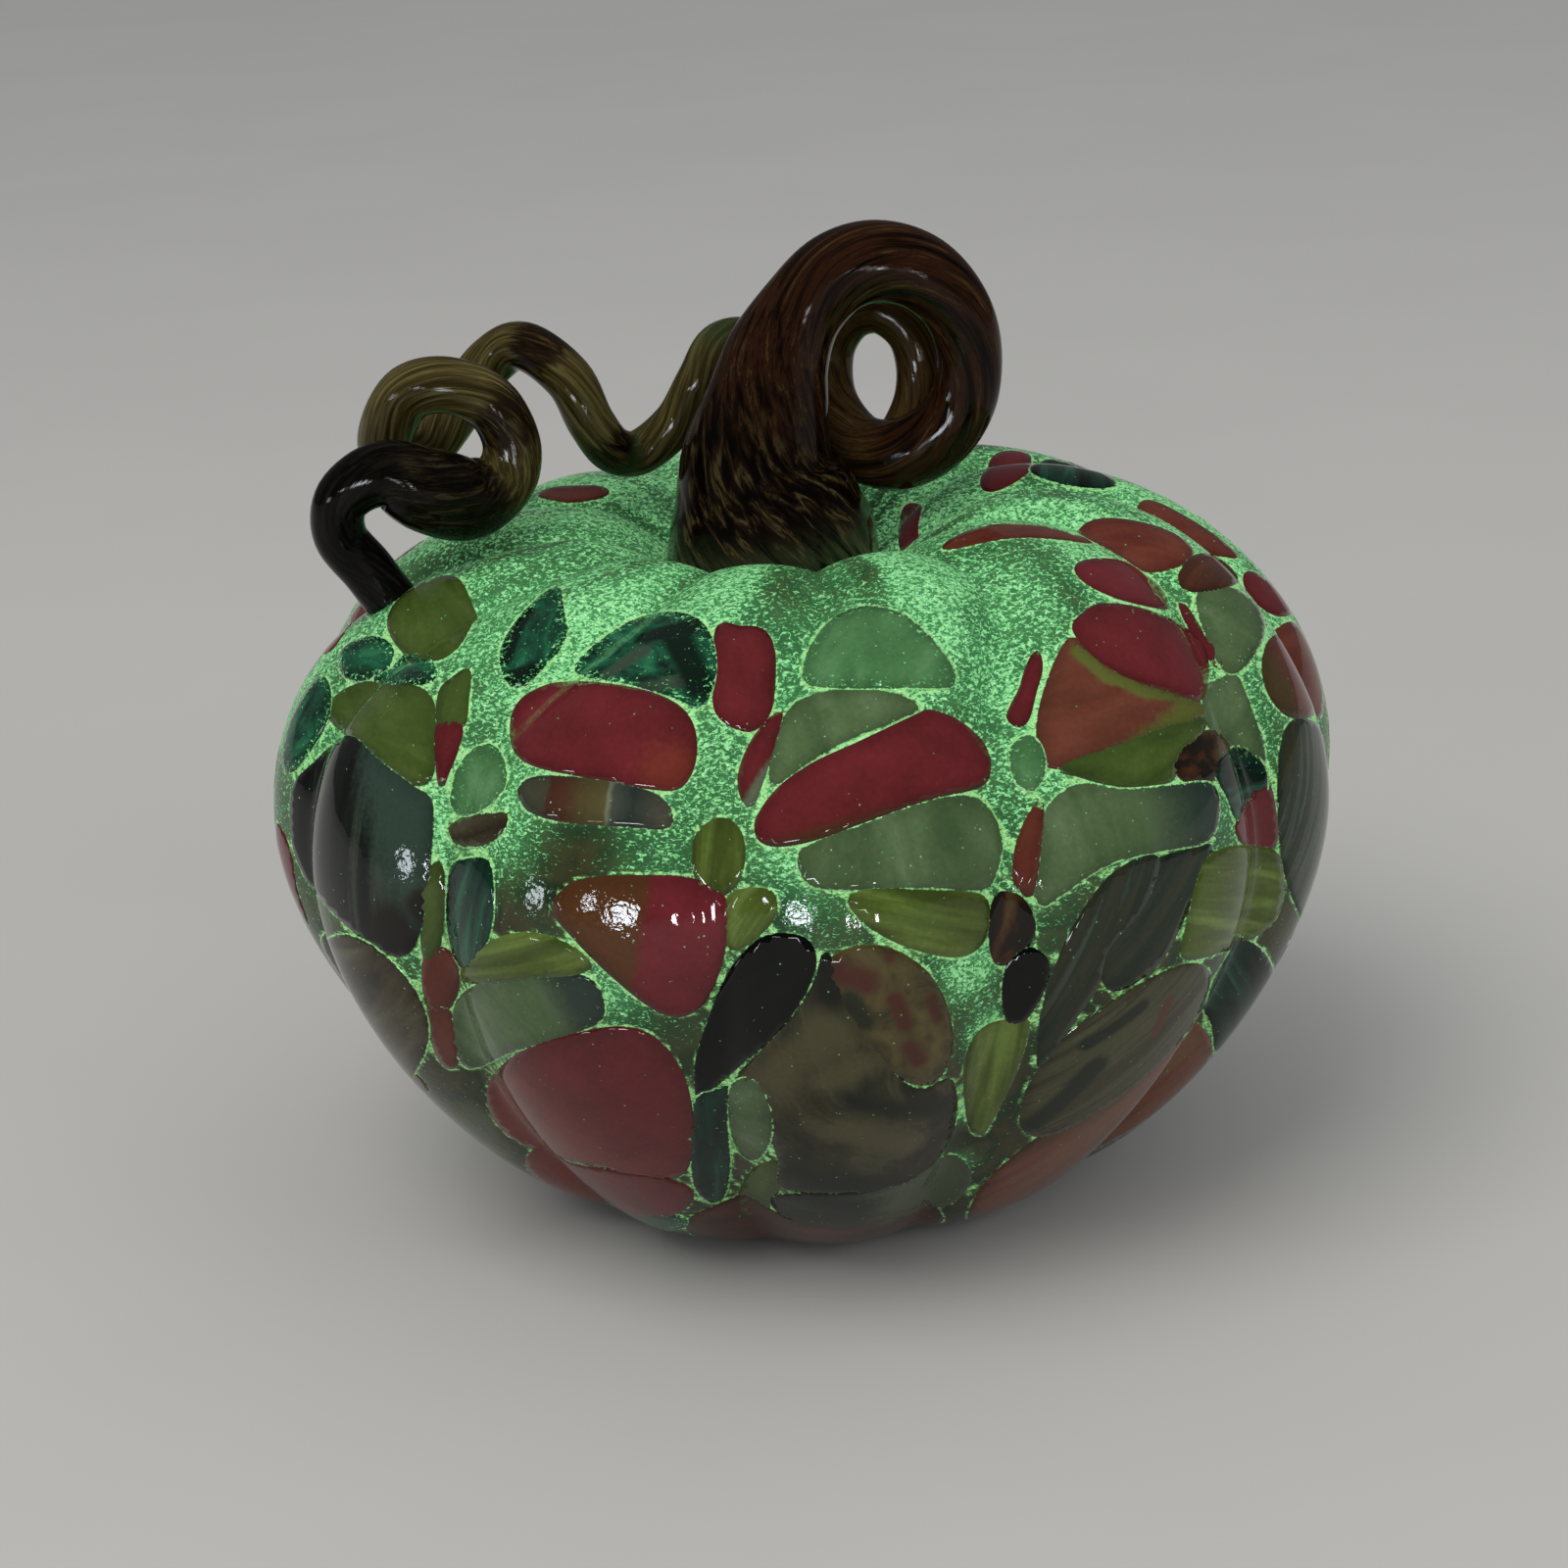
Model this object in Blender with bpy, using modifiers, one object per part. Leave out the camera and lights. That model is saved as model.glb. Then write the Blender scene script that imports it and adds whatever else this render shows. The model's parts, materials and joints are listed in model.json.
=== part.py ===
# Blown glass pumpkin: a ribbed hollow body with colour chips picked up in its skin,
# a thick stem curled over on itself and a corkscrew tendril lying over the shoulder.
# Metres, +Z up. The origin is on the axis, on the surface that the base rests on.
# Azimuth 0 is the front (-Y) and grows towards +X, in degrees.

import math

import bmesh
import bpy
from mathutils import Matrix, Vector

MM = 0.001

# Body outline, measured over the crests of the ribs
BODY_RADIUS = 70 * MM
GIRTH_HEIGHT = 53 * MM
CREST_HEIGHT = 90 * MM
CREST_RADIUS = 31 * MM
DIMPLE_DEPTH = 12 * MM
BASE_RADIUS = 29 * MM
BASE_RING_WIDTH = 7 * MM
BASE_KICK = 2 * MM
SHOULDER_FULLNESS = 0.55
BELLY_FULLNESS = 0.40
DIMPLE_FLOOR_SHARE = 0.45
DIMPLE_LIP_SHARE = 0.60
KICK_SHOULDER = (0.60, 0.75)

# Wall and neck, the hole where the blowpipe was cracked off
WALL = 6.5 * MM
NECK_RADIUS = 7 * MM

# Ribs: the azimuth of each valley at the girth, how deep the valleys run and how they swirl
RIB_VALLEYS = (-96, -70, -41, -10, 19, 55, 80, 106, 134, 164, 195, 229)
RIB_RELIEF = 3.8 * MM
RIM_RELIEF = 2.0 * MM
RIB_SHARPNESS = 2.2
DIMPLE_RIB_FADE = 1.5
FOOT_RIB_FADE = 0.7
RIM_SWIRL = 17
SWIRL_REACH = 45 * MM
FOOT_SWIRL = 4
RIB_FADE_HEIGHT = 12 * MM

# Chips of coloured glass, set flush in the skin. They stretch with the body as it is blown, so their places
# and sizes are in degrees: of the girth's arc across, and of the outline from crest to base up the body
CHIP_THICKNESS = 1.2 * MM
CHIP_CROWN_ALLOWANCE = 3.2 * MM
OUTLINE_DEGREES = 107
CLEARANCE = 0.3 * MM

# Rods: the stem's foot before the dimple shapes it, how far it would reach under the dimple's floor, and the
# length that one unit of the stem's and the tendril's paths stands for
FOOT_RADIUS = 17.5 * MM
FOOT_REACH = 3 * MM
ROD_UNIT = 1 * MM

# Mesh fineness
STEPS_PER_RIB = 5
DIMPLE_STEPS = 4
SHOULDER_STEPS = 7
BELLY_STEPS = 8
CAVITY_STEPS = 20
CHIP_SIDE_DEGREES = 4.25
FEWEST_CHIP_SIDES = 8
ROD_BEVEL_RESOLUTION = 3
PATH_STEPS = 2
SHARP_ANGLE = 25
WELD_DISTANCE = 0.005 * MM

GLASS = {
    "body": ((0.20, 0.55, 0.30), 0.08),
    "stem": ((0.055, 0.026, 0.012), 0.12),
    "tendril": ((0.20, 0.15, 0.055), 0.10),
    "crimson": ((0.36, 0.025, 0.04), 0.10),
    "rust": ((0.28, 0.06, 0.03), 0.10),
    "olive": ((0.24, 0.30, 0.05), 0.10),
    "teal": ((0.01, 0.14, 0.08), 0.08),
    "mint": ((0.22, 0.38, 0.25), 0.08),
    "amber": ((0.22, 0.15, 0.04), 0.08),
    "smoke": ((0.015, 0.018, 0.014), 0.06),
}

# Each chip: azimuth, distance down the outline from the crest, length and width, tilt of its length from
# level, squareness of its outline, and taper along its length
CHIPS = {
    "crimson": (
        (-23, 25.6, 19.2, 9.0, -9, 4.0, 0.0),
        (-7, 18.4, 11.5, 5.3, -85, 3.4, 0.0),
        (8.5, 30.9, 21.3, 6.1, 15, 2.8, 0.25),
        (-15.4, 44.8, 12.9, 9.2, -22, 2.8, 0.2),
        (-26.5, 67.2, 22.1, 14.7, 28, 2.8, 0.0),
        (45.5, 22.6, 13.9, 7.0, -37, 3.0, 0.15),
        (27, 24.0, 7.8, 2.0, 60, 2.4, -0.2),
        (51.5, 15.6, 9.8, 4.9, -50, 2.4, 0.0),
        (79, 26.6, 9.0, 4.1, -35, 2.2, 0.0),
        (50, 43.8, 6.5, 4.9, 70, 2.2, -0.35),
        (38, 80.8, 24.6, 6.5, 40, 2.6, 0.0),
        (84, 17.0, 11.5, 2.9, 60, 2.4, 0.0),
        (108, 33.1, 16.4, 7.4, 12, 3.2, 0.0),
        (150, 44.9, 14.7, 9.8, -22, 2.8, 0.15),
        (197, 24.5, 14.7, 6.5, 30, 3.0, 0.1),
        (244, 40.4, 13.9, 8.2, 72, 2.8, 0.0),
        (178, 68.0, 19.6, 12.3, 24, 2.8, 0.0),
    ),
    "rust": (
        (35.5, 28.9, 9.8, 5.7, 12, 2.8, 0.1),
        (67, 14.4, 10.6, 4.9, -35, 2.6, -0.2),
        (76, 36.1, 13.1, 6.5, -75, 2.6, 0.1),
        (69.5, 21.8, 7.0, 4.1, -15, 2.4, 0.1),
    ),
    "olive": (
        (-60, 17.7, 10.6, 7.4, -13, 2.4, 0.0),
        (-56, 29.6, 13.9, 8.6, 0, 2.8, 0.1),
        (-7.2, 36.8, 5.7, 3.6, 87, 2.3, 0.0),
        (10.0, 45.3, 12.7, 4.1, -11, 2.6, 0.2),
        (-30, 47.9, 12.7, 3.6, 12, 2.6, 0.0),
        (38.5, 35.0, 12.3, 4.6, 6, 2.6, -0.15),
        (45.6, 51.7, 10.6, 5.8, 12, 3.0, 0.0),
        (16.5, 62.7, 12.3, 4.4, 84, 2.6, 0.3),
        (-4, 81.3, 8.2, 4.9, 15, 2.6, 0.0),
        (127, 18.4, 11.5, 6.5, -25, 2.6, 0.0),
        (221, 49.4, 12.3, 5.7, 10, 2.6, 0.1),
    ),
    "teal": (
        (-41, 15.6, 10.6, 4.3, -65, 2.4, 0.3),
        (-22.5, 12.8, 11.9, 5.3, -22, 2.6, 0.2),
        (-35, 41.6, 7.4, 3.9, 85, 2.6, 0.0),
        (-71, 32.2, 9.0, 5.7, 20, 2.6, 0.0),
        (57, 65.1, 11.5, 4.9, 64, 2.4, 0.0),
        (168, 22.4, 10.6, 4.9, 62, 2.4, 0.1),
    ),
    "mint": (
        (10, 16.3, 13.9, 7.4, -8, 2.3, 0.0),
        (4.2, 23.6, 11.5, 3.4, 18, 2.6, 0.0),
        (10, 38.2, 17.6, 5.8, 4, 2.8, 0.15),
        (-36, 32.2, 6.5, 4.6, 60, 2.6, 0.2),
        (-31, 55.3, 14.7, 5.7, 16, 2.6, 0.0),
        (62.5, 28.7, 9.0, 6.5, -60, 2.6, 0.0),
        (28.5, 42.3, 10.6, 5.7, 28, 2.6, 0.0),
        (128, 60.8, 15.6, 6.5, -14, 2.6, 0.1),
    ),
    "amber": (
        (-22.5, 33.6, 14.3, 2.9, -6, 3.0, 0.0),
        (6.5, 53.8, 13.9, 7.8, -60, 2.5, 0.0),
        (1.5, 67.6, 13.9, 9.0, -20, 2.6, 0.0),
        (33.6, 61.2, 14.8, 7.6, 45, 2.6, 0.0),
        (-57, 60.8, 14.7, 8.2, 36, 2.6, 0.0),
        (228, 68.9, 14.7, 8.2, -30, 2.6, 0.0),
    ),
    "smoke": (
        (-6.2, 52.4, 16.0, 5.1, 60, 2.4, 0.2),
        (-54, 43.4, 16.4, 10.6, 8, 2.8, 0.15),
        (189, 46.4, 14.7, 6.5, 80, 2.5, 0.15),
    ),
}

# The stem: x, y, rise over the crest and rod radius, from above the foot to the tucked-in tip
STEM_PATH = (
    (-2.6, 0.0, -6.0, 16.0),
    (-2.9, 0.0, 0.0, 12.6),
    (-3.2, 0.0, 6.0, 10.0),
    (-1.7, 0.0, 12.5, 8.2),
    (0.2, 0.0, 19.0, 6.8),
    (3.6, 0.0, 24.8, 5.5),
    (8.2, 0.0, 29.0, 5.3),
    (13.6, 0.0, 30.2, 5.2),
    (19.0, 0.0, 28.3, 4.9),
    (23.0, 0.2, 23.6, 4.5),
    (24.5, 0.6, 17.6, 4.2),
    (23.4, 1.2, 11.4, 4.3),
    (19.6, 2.0, 6.6, 4.6),
    (14.2, 3.6, 4.4, 4.6),
    (9.4, 7.0, 5.6, 4.2),
    (6.4, 11.0, 10.6, 3.8),
    (6.8, 12.4, 16.8, 3.5),
    (9.8, 10.6, 21.4, 3.3),
    (13.8, 8.8, 22.4, 3.2),
    (17.2, 7.8, 19.6, 3.0),
    (18.2, 7.4, 15.2, 2.8),
    (16.9, 7.2, 11.6, 2.3),
    (15.4, 7.1, 9.9, 1.2),
)

# The tendril: azimuth, distance out from the crest ring, rise over the skin beneath and rod radius, from its
# root behind the stem to its end on the left shoulder
TENDRIL_PATH = (
    (194, -11.0, -3.4, 4.2),
    (193, -11.0, 3.6, 3.4),
    (190, -12.0, 11.2, 3.1),
    (187, -13.5, 18.6, 3.0),
    (194, -15.5, 24.5, 3.0),
    (213, -17.2, 25.9, 3.0),
    (224, -16.2, 21.1, 3.0),
    (231, -13.2, 13.6, 3.0),
    (240, -9.4, 7.9, 3.0),
    (249.5, -7.4, 8.1, 3.1),
    (256, -5.8, 11.7, 3.1),
    (256, -3.2, 16.9, 3.2),
    (251, 3.4, 20.4, 3.2),
    (250, 8.6, 19.1, 3.2),
    (254, 12.6, 15.0, 3.2),
    (261, 16.4, 11.9, 3.2),
    (267, 19.6, 14.7, 3.3),
    (270.5, 18.8, 18.4, 3.3),
    (273, 15.6, 21.5, 3.3),
    (275, 10.6, 20.6, 3.3),
    (276, 5.4, 16.8, 3.3),
    (276, 3.0, 11.3, 3.4),
    (276.5, 4.8, 6.9, 4.2),
    (279.5, 9.6, 6.2, 5.3),
    (283, 15.0, 10.3, 5.4),
    (284, 20.4, 15.8, 4.2),
    (283, 25.4, 16.7, 3.5),
    (281.5, 26.2, 12.3, 3.4),
    (281, 23.2, 4.9, 3.4),
    (281, 20.4, -1.8, 3.4),
)


def clear_scene():
    for item in list(bpy.data.objects):
        bpy.data.objects.remove(item, do_unlink=True)


def new_collection(name):
    collection = bpy.data.collections.new(name)
    bpy.context.scene.collection.children.link(collection)
    return collection


def glass_material(name):
    colour, roughness = GLASS[name]
    material = bpy.data.materials.new(name + "_glass")
    material.use_nodes = True
    shader = material.node_tree.nodes["Principled BSDF"]
    shader.inputs["Base Color"].default_value = (*colour, 1.0)
    shader.inputs["Roughness"].default_value = roughness
    shader.inputs["Metallic"].default_value = 0.0
    material.diffuse_color = (*colour, 1.0)
    return material


def add_mesh(name, mesh, collection):
    item = bpy.data.objects.new(name, mesh)
    collection.objects.link(item)
    return item


def make_helper(item):
    item.hide_render = True
    item.display_type = "WIRE"


def smoothstep(value):
    value = min(1.0, max(0.0, value))
    return value * value * (3.0 - 2.0 * value)


def bezier_points(start, handle_a, handle_b, end, steps):
    points = []
    for step in range(steps + 1):
        t = step / steps
        weights = ((1 - t) ** 3, 3 * t * (1 - t) ** 2, 3 * t * t * (1 - t), t ** 3)
        corners = (start, handle_a, handle_b, end)
        points.append(tuple(sum(w * c[axis] for w, c in zip(weights, corners)) for axis in (0, 1)))
    return points


# One row of the body's outline for each ring of vertices, from the dimple's centre over the crest
# and the girth to the base's centre: radius, height, rib relief and swirl
def body_rows():
    dimple_floor = CREST_HEIGHT - DIMPLE_DEPTH
    dimple = bezier_points((0, dimple_floor), (DIMPLE_FLOOR_SHARE * CREST_RADIUS, dimple_floor),
                           (DIMPLE_LIP_SHARE * CREST_RADIUS, CREST_HEIGHT), (CREST_RADIUS, CREST_HEIGHT),
                           DIMPLE_STEPS)
    shoulder_width = BODY_RADIUS - CREST_RADIUS
    shoulder_height = CREST_HEIGHT - GIRTH_HEIGHT
    shoulder = bezier_points((CREST_RADIUS, CREST_HEIGHT),
                             (CREST_RADIUS + SHOULDER_FULLNESS * shoulder_width, CREST_HEIGHT),
                             (BODY_RADIUS, GIRTH_HEIGHT + SHOULDER_FULLNESS * shoulder_height),
                             (BODY_RADIUS, GIRTH_HEIGHT), SHOULDER_STEPS)
    belly_width = BODY_RADIUS - BASE_RADIUS
    belly = bezier_points((BODY_RADIUS, GIRTH_HEIGHT),
                          (BODY_RADIUS, GIRTH_HEIGHT * (1 - BELLY_FULLNESS)),
                          (BASE_RADIUS + BELLY_FULLNESS * belly_width, 0), (BASE_RADIUS, 0), BELLY_STEPS)
    rows = []
    for radius, height in dimple:
        rows.append((radius, height, RIM_RELIEF * (radius / CREST_RADIUS) ** DIMPLE_RIB_FADE, RIM_SWIRL))
    travelled = 0.0
    for index, (radius, height) in enumerate(shoulder[1:], start=1):
        travelled += math.dist(shoulder[index - 1], shoulder[index])
        swell = math.sin(0.5 * math.pi * index / (len(shoulder) - 1))
        relief = RIM_RELIEF + (RIB_RELIEF - RIM_RELIEF) * swell
        rows.append((radius, height, relief, RIM_SWIRL * (1 - smoothstep(travelled / SWIRL_REACH))))
    for radius, height in belly[1:]:
        relief = RIB_RELIEF * min(1.0, max(0.0, height / RIB_FADE_HEIGHT)) ** FOOT_RIB_FADE
        rows.append((radius, height, relief, -FOOT_SWIRL * smoothstep(1 - height / GIRTH_HEIGHT)))
    ring_inside = BASE_RADIUS - BASE_RING_WIDTH
    rows.append((ring_inside, 0.0, 0.0, -FOOT_SWIRL))
    rows.append((KICK_SHOULDER[0] * ring_inside, KICK_SHOULDER[1] * BASE_KICK, 0.0, -FOOT_SWIRL))
    rows.append((0.0, BASE_KICK, 0.0, -FOOT_SWIRL))
    return rows


# The outline's outward normal at each row, as radius and height parts
def row_normals(rows):
    normals = []
    for index, row in enumerate(rows):
        before = rows[max(index - 1, 0)]
        after = rows[min(index + 1, len(rows) - 1)]
        run, drop = after[0] - before[0], before[1] - after[1]
        if row[0] == 0.0:
            run, drop = (1.0 if index == 0 else -1.0), 0.0
        length = math.hypot(run, drop)
        normals.append((drop / length, run / length))
    return normals


# Azimuth at the girth and depth share of each vertex round the body: 0 on a crest, 1 in a valley
def rib_columns():
    columns = []
    for index, valley in enumerate(RIB_VALLEYS):
        following = RIB_VALLEYS[index + 1] if index + 1 < len(RIB_VALLEYS) else RIB_VALLEYS[0] + 360
        for step in range(STEPS_PER_RIB):
            share = step / STEPS_PER_RIB
            azimuth = valley + (following - valley) * share
            columns.append((azimuth, abs(2 * share - 1) ** RIB_SHARPNESS))
    return columns


def around_axis(radius, azimuth, height):
    angle = math.radians(azimuth)
    return Vector((radius * math.sin(angle), -radius * math.cos(angle), height))


# The whole ribbed outside as a closed solid, moved along its normals by an offset: a loft
# between rings whose ribs swirl, deepen and fade from ring to ring
def ribbed_solid(name, offset):
    rows = body_rows()
    normals = row_normals(rows)
    columns = rib_columns()
    shape = bmesh.new()
    rings = []
    for (radius, height, relief, swirl), (out, up) in zip(rows, normals):
        if radius == 0.0:
            rings.append([shape.verts.new((0.0, 0.0, height + up * offset))])
            continue
        ring = []
        for azimuth, depth in columns:
            shift = offset - relief * depth
            point = around_axis(radius + out * shift, azimuth + swirl, height + up * shift)
            ring.append(shape.verts.new(point))
        rings.append(ring)
    count = len(columns)
    for upper, lower in zip(rings, rings[1:]):
        for index in range(count):
            following = (index + 1) % count
            if len(upper) == 1:
                shape.faces.new((upper[0], lower[index], lower[following]))
            elif len(lower) == 1:
                shape.faces.new((upper[index], lower[0], upper[following]))
            else:
                shape.faces.new((upper[index], lower[index], lower[following], upper[following]))
    bmesh.ops.recalc_face_normals(shape, faces=shape.faces)
    mesh = bpy.data.meshes.new(name)
    shape.to_mesh(mesh)
    shape.free()
    mesh.shade_smooth()
    mesh.set_sharp_from_angle(angle=math.radians(SHARP_ANGLE))
    return mesh


# The blown hollow and its neck, turned from an outline that follows the outside one wall inward
def add_cavity(cutters):
    rows = body_rows()
    outline = []
    for (radius, height, _, _), (out, up) in zip(rows, row_normals(rows)):
        outline.append((radius - out * WALL, height - up * WALL))
    roof = outline[0][1]
    outline = [point for point in outline if point[0] > NECK_RADIUS]
    floor = BASE_KICK + WALL
    points = [(0, CREST_HEIGHT), (NECK_RADIUS, CREST_HEIGHT), (NECK_RADIUS, roof)] + outline + [(0, floor)]
    mesh = bpy.data.meshes.new("cavity_outline")
    edges = [(index, index + 1) for index in range(len(points) - 1)]
    mesh.from_pydata([(radius, 0, height) for radius, height in points], edges, [])
    cavity = add_mesh("cavity_cutter", mesh, cutters)
    turn = cavity.modifiers.new("turn", "SCREW")
    turn.steps = turn.render_steps = CAVITY_STEPS
    turn.use_merge_vertices = True
    turn.merge_threshold = WELD_DISTANCE
    make_helper(cavity)
    return cavity


def cut(item, tool, operation="DIFFERENCE"):
    modifier = item.modifiers.new(tool.name, "BOOLEAN")
    modifier.operation = operation
    modifier.object = tool
    modifier.solver = "EXACT"


# The object's evaluated shape as a plain welded mesh of its own
def baked_mesh(item):
    evaluated = item.evaluated_get(bpy.context.evaluated_depsgraph_get())
    mesh = bpy.data.meshes.new_from_object(evaluated)
    shape = bmesh.new()
    shape.from_mesh(mesh)
    bmesh.ops.remove_doubles(shape, verts=shape.verts, dist=WELD_DISTANCE)
    shape.to_mesh(mesh)
    shape.free()
    return mesh


def curve_to_mesh(curve_object, collection):
    name = curve_object.name
    world = curve_object.matrix_world.copy()
    mesh = baked_mesh(curve_object)
    bpy.data.objects.remove(curve_object)
    item = add_mesh(name, mesh, collection)
    item.matrix_world = world
    return item


# The outline from the crest ring to the resting ring, with its normals
def outside_rows():
    rows = body_rows()
    pairs = list(zip(rows, row_normals(rows)))
    return [pair for pair in pairs[DIMPLE_STEPS:] if pair[0][0] >= BASE_RADIUS]


# Height of the rib crests' outline at a distance from the axis, from the dimple's centre to the girth
def skin_height(radius):
    rows = body_rows()[:DIMPLE_STEPS + SHOULDER_STEPS + 1]
    for inner, outer in zip(rows, rows[1:]):
        if radius <= outer[0]:
            break
    return inner[1] + (outer[1] - inner[1]) * (radius - inner[0]) / (outer[0] - inner[0])


# What one degree of a chip's size measures, across and up the body
def chip_units():
    outline = [row for row, _ in outside_rows()]
    length = sum(math.dist(row[:2], row_below[:2]) for row, row_below in zip(outline, outline[1:]))
    return BODY_RADIUS * math.radians(1), length / OUTLINE_DEGREES


# Where a chip sits: the point of the rib crests' outline at its distance down, with axes level, up and out
def chip_frame(azimuth, down):
    left = down * chip_units()[1]
    outside = outside_rows()
    for (row, normal), (row_below, normal_below) in zip(outside, outside[1:]):
        step = math.dist(row[:2], row_below[:2])
        if left <= step:
            break
        left -= step
    share = left / step
    radius = row[0] + (row_below[0] - row[0]) * share
    height = row[1] + (row_below[1] - row[1]) * share
    out = normal[0] + (normal_below[0] - normal[0]) * share
    up = normal[1] + (normal_below[1] - normal[1]) * share
    outward = around_axis(out, azimuth, up).normalized()
    level = around_axis(1.0, azimuth + 90, 0.0)
    frame = Matrix((level, outward.cross(level), outward)).transposed().to_4x4()
    frame.translation = around_axis(radius, azimuth, height)
    return frame


# The chip's outline in metres across and up: a rounded shape, tilted, then stretched with the body
def chip_outline(chip, grow):
    _, _, length, width, tilt, squareness, taper = chip
    across_unit, up_unit = chip_units()
    half_length = 0.5 * length * across_unit + grow
    half_width = 0.5 * width * across_unit + grow
    turn = math.radians(tilt)
    points = []
    sides = max(FEWEST_CHIP_SIDES, 2 * round((length + width) / CHIP_SIDE_DEGREES))
    for side in range(sides):
        angle = 2 * math.pi * (side + 0.5) / sides
        along = math.copysign(abs(math.cos(angle)) ** (2 / squareness), math.cos(angle))
        aside = math.copysign(abs(math.sin(angle)) ** (2 / squareness), math.sin(angle))
        x, y = along * half_length, aside * half_width * (1 + taper * along)
        across = x * math.cos(turn) - y * math.sin(turn)
        up = x * math.sin(turn) + y * math.cos(turn)
        points.append((across, up * up_unit / across_unit))
    return points


# A straight-sided plug through the skin with the chip's outline, as a mesh: it reaches past the deepest
# valley and the fall of the skin across the chip
def add_plug(name, chip, grow, collection):
    curve = bpy.data.curves.new(name, "CURVE")
    curve.dimensions = "2D"
    curve.fill_mode = "BOTH"
    curve.extrude = RIB_RELIEF + CHIP_CROWN_ALLOWANCE
    outline = chip_outline(chip, grow)
    spline = curve.splines.new("POLY")
    spline.points.add(len(outline) - 1)
    for point, (x, y) in zip(spline.points, outline):
        point.co = (x, y, 0.0, 1.0)
    spline.use_cyclic_u = True
    plug = bpy.data.objects.new(name, curve)
    collection.objects.link(plug)
    plug.matrix_world = chip_frame(*chip[:2])
    bpy.context.view_layer.update()
    return curve_to_mesh(plug, collection)


# Every chip takes the skin's own outer face and stops one thickness in
def add_chips(collection, skin, chip_floor):
    for colour, chips in CHIPS.items():
        material = glass_material(colour)
        for number, chip in enumerate(chips, start=1):
            item = add_plug(f"{colour}_chip_{number}", chip, 0.0, collection)
            cut(item, skin, "INTERSECT")
            cut(item, chip_floor)
            item.data.materials.append(material)


# All the pockets that the chips sit in, joined into one cutter
def add_pocket_cutter(cutters, pocket_floor):
    joined = bmesh.new()
    for chips in CHIPS.values():
        for chip in chips:
            plug = add_plug("pocket_plug", chip, CLEARANCE, cutters)
            cut(plug, pocket_floor)
            mesh = baked_mesh(plug)
            mesh.transform(plug.matrix_world)
            joined.from_mesh(mesh)
            bpy.data.objects.remove(plug)
    mesh = bpy.data.meshes.new("pocket_cutter")
    joined.to_mesh(mesh)
    joined.free()
    cutter = add_mesh("pocket_cutter", mesh, cutters)
    make_helper(cutter)
    return cutter


# Points and radii along a path, read from a Catmull-Rom curve through the chosen points
def smooth_path(points):
    padded = [points[0], *points, points[-1]]
    path = []
    for before, start, end, after in zip(padded, padded[1:], padded[2:], padded[3:]):
        for step in range(PATH_STEPS):
            t = step / PATH_STEPS
            weights = (-0.5 * t + t * t - 0.5 * t ** 3, 1 - 2.5 * t * t + 1.5 * t ** 3,
                       0.5 * t + 2 * t * t - 1.5 * t ** 3, -0.5 * t * t + 0.5 * t ** 3)
            corners = (before, start, end, after)
            path.append(tuple(sum(w * c[axis] for w, c in zip(weights, corners)) for axis in range(4)))
    path.append(points[-1])
    return path


# A drawn glass rod of changing thickness along points of x, y, z and radius in metres
def add_rod(name, points, collection):
    curve = bpy.data.curves.new(name, "CURVE")
    curve.dimensions = "3D"
    curve.bevel_depth = ROD_UNIT
    curve.bevel_resolution = ROD_BEVEL_RESOLUTION
    curve.use_fill_caps = True
    path = smooth_path(points)
    spline = curve.splines.new("POLY")
    spline.points.add(len(path) - 1)
    for point, (x, y, z, radius) in zip(spline.points, path):
        point.co = (x, y, z, 1.0)
        point.radius = radius / ROD_UNIT
    rod = bpy.data.objects.new(name, curve)
    collection.objects.link(rod)
    bpy.context.view_layer.update()
    return curve_to_mesh(rod, collection)


def stem_points():
    points = []
    for x, y, rise, radius in STEM_PATH:
        points.append((x * ROD_UNIT, y * ROD_UNIT, CREST_HEIGHT + rise * ROD_UNIT, radius * ROD_UNIT))
    x, y, _, _ = points[0]
    foot = (x, y, CREST_HEIGHT - DIMPLE_DEPTH - FOOT_REACH, FOOT_RADIUS)
    return [foot, *points]


def tendril_points():
    points = []
    for azimuth, out, rise, radius in TENDRIL_PATH:
        away = CREST_RADIUS + out * ROD_UNIT
        place = around_axis(away, azimuth, skin_height(away) + rise * ROD_UNIT)
        points.append((*place, radius * ROD_UNIT))
    return points


def add_body(collection, cavity, pockets):
    body = add_mesh("body", ribbed_solid("body", 0.0), collection)
    cut(body, cavity)
    cut(body, pockets)
    body.data.materials.append(glass_material("body"))


def add_seated_rod(name, points, collection, seat):
    rod = add_rod(name, points, collection)
    rod.data.shade_smooth()
    cut(rod, seat)
    rod.data.materials.append(glass_material(name))


def build():
    clear_scene()
    pumpkin = new_collection("glass_pumpkin")
    cutters = new_collection("cutters")
    depths = {"skin": 0.0, "chip_floor": -CHIP_THICKNESS, "pocket_floor": -CHIP_THICKNESS - CLEARANCE,
              "seat": CLEARANCE}
    tools = {}
    for name, offset in depths.items():
        tools[name] = add_mesh(name, ribbed_solid(name, offset), cutters)
        make_helper(tools[name])
    cavity = add_cavity(cutters)
    pockets = add_pocket_cutter(cutters, tools["pocket_floor"])
    add_body(pumpkin, cavity, pockets)
    add_chips(pumpkin, tools["skin"], tools["chip_floor"])
    add_seated_rod("stem", stem_points(), pumpkin, tools["seat"])
    add_seated_rod("tendril", tendril_points(), pumpkin, tools["seat"])


build()
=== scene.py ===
# Glass pumpkin: visual pieces, finishes, floor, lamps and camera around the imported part.
# Metres, +Z up, the front is -Y. Azimuth 0 is the front and grows towards +X, in degrees.
# Places taken from the photo are pixels of its 1600 x 1600 frame.
import json
import math
import random

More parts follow.
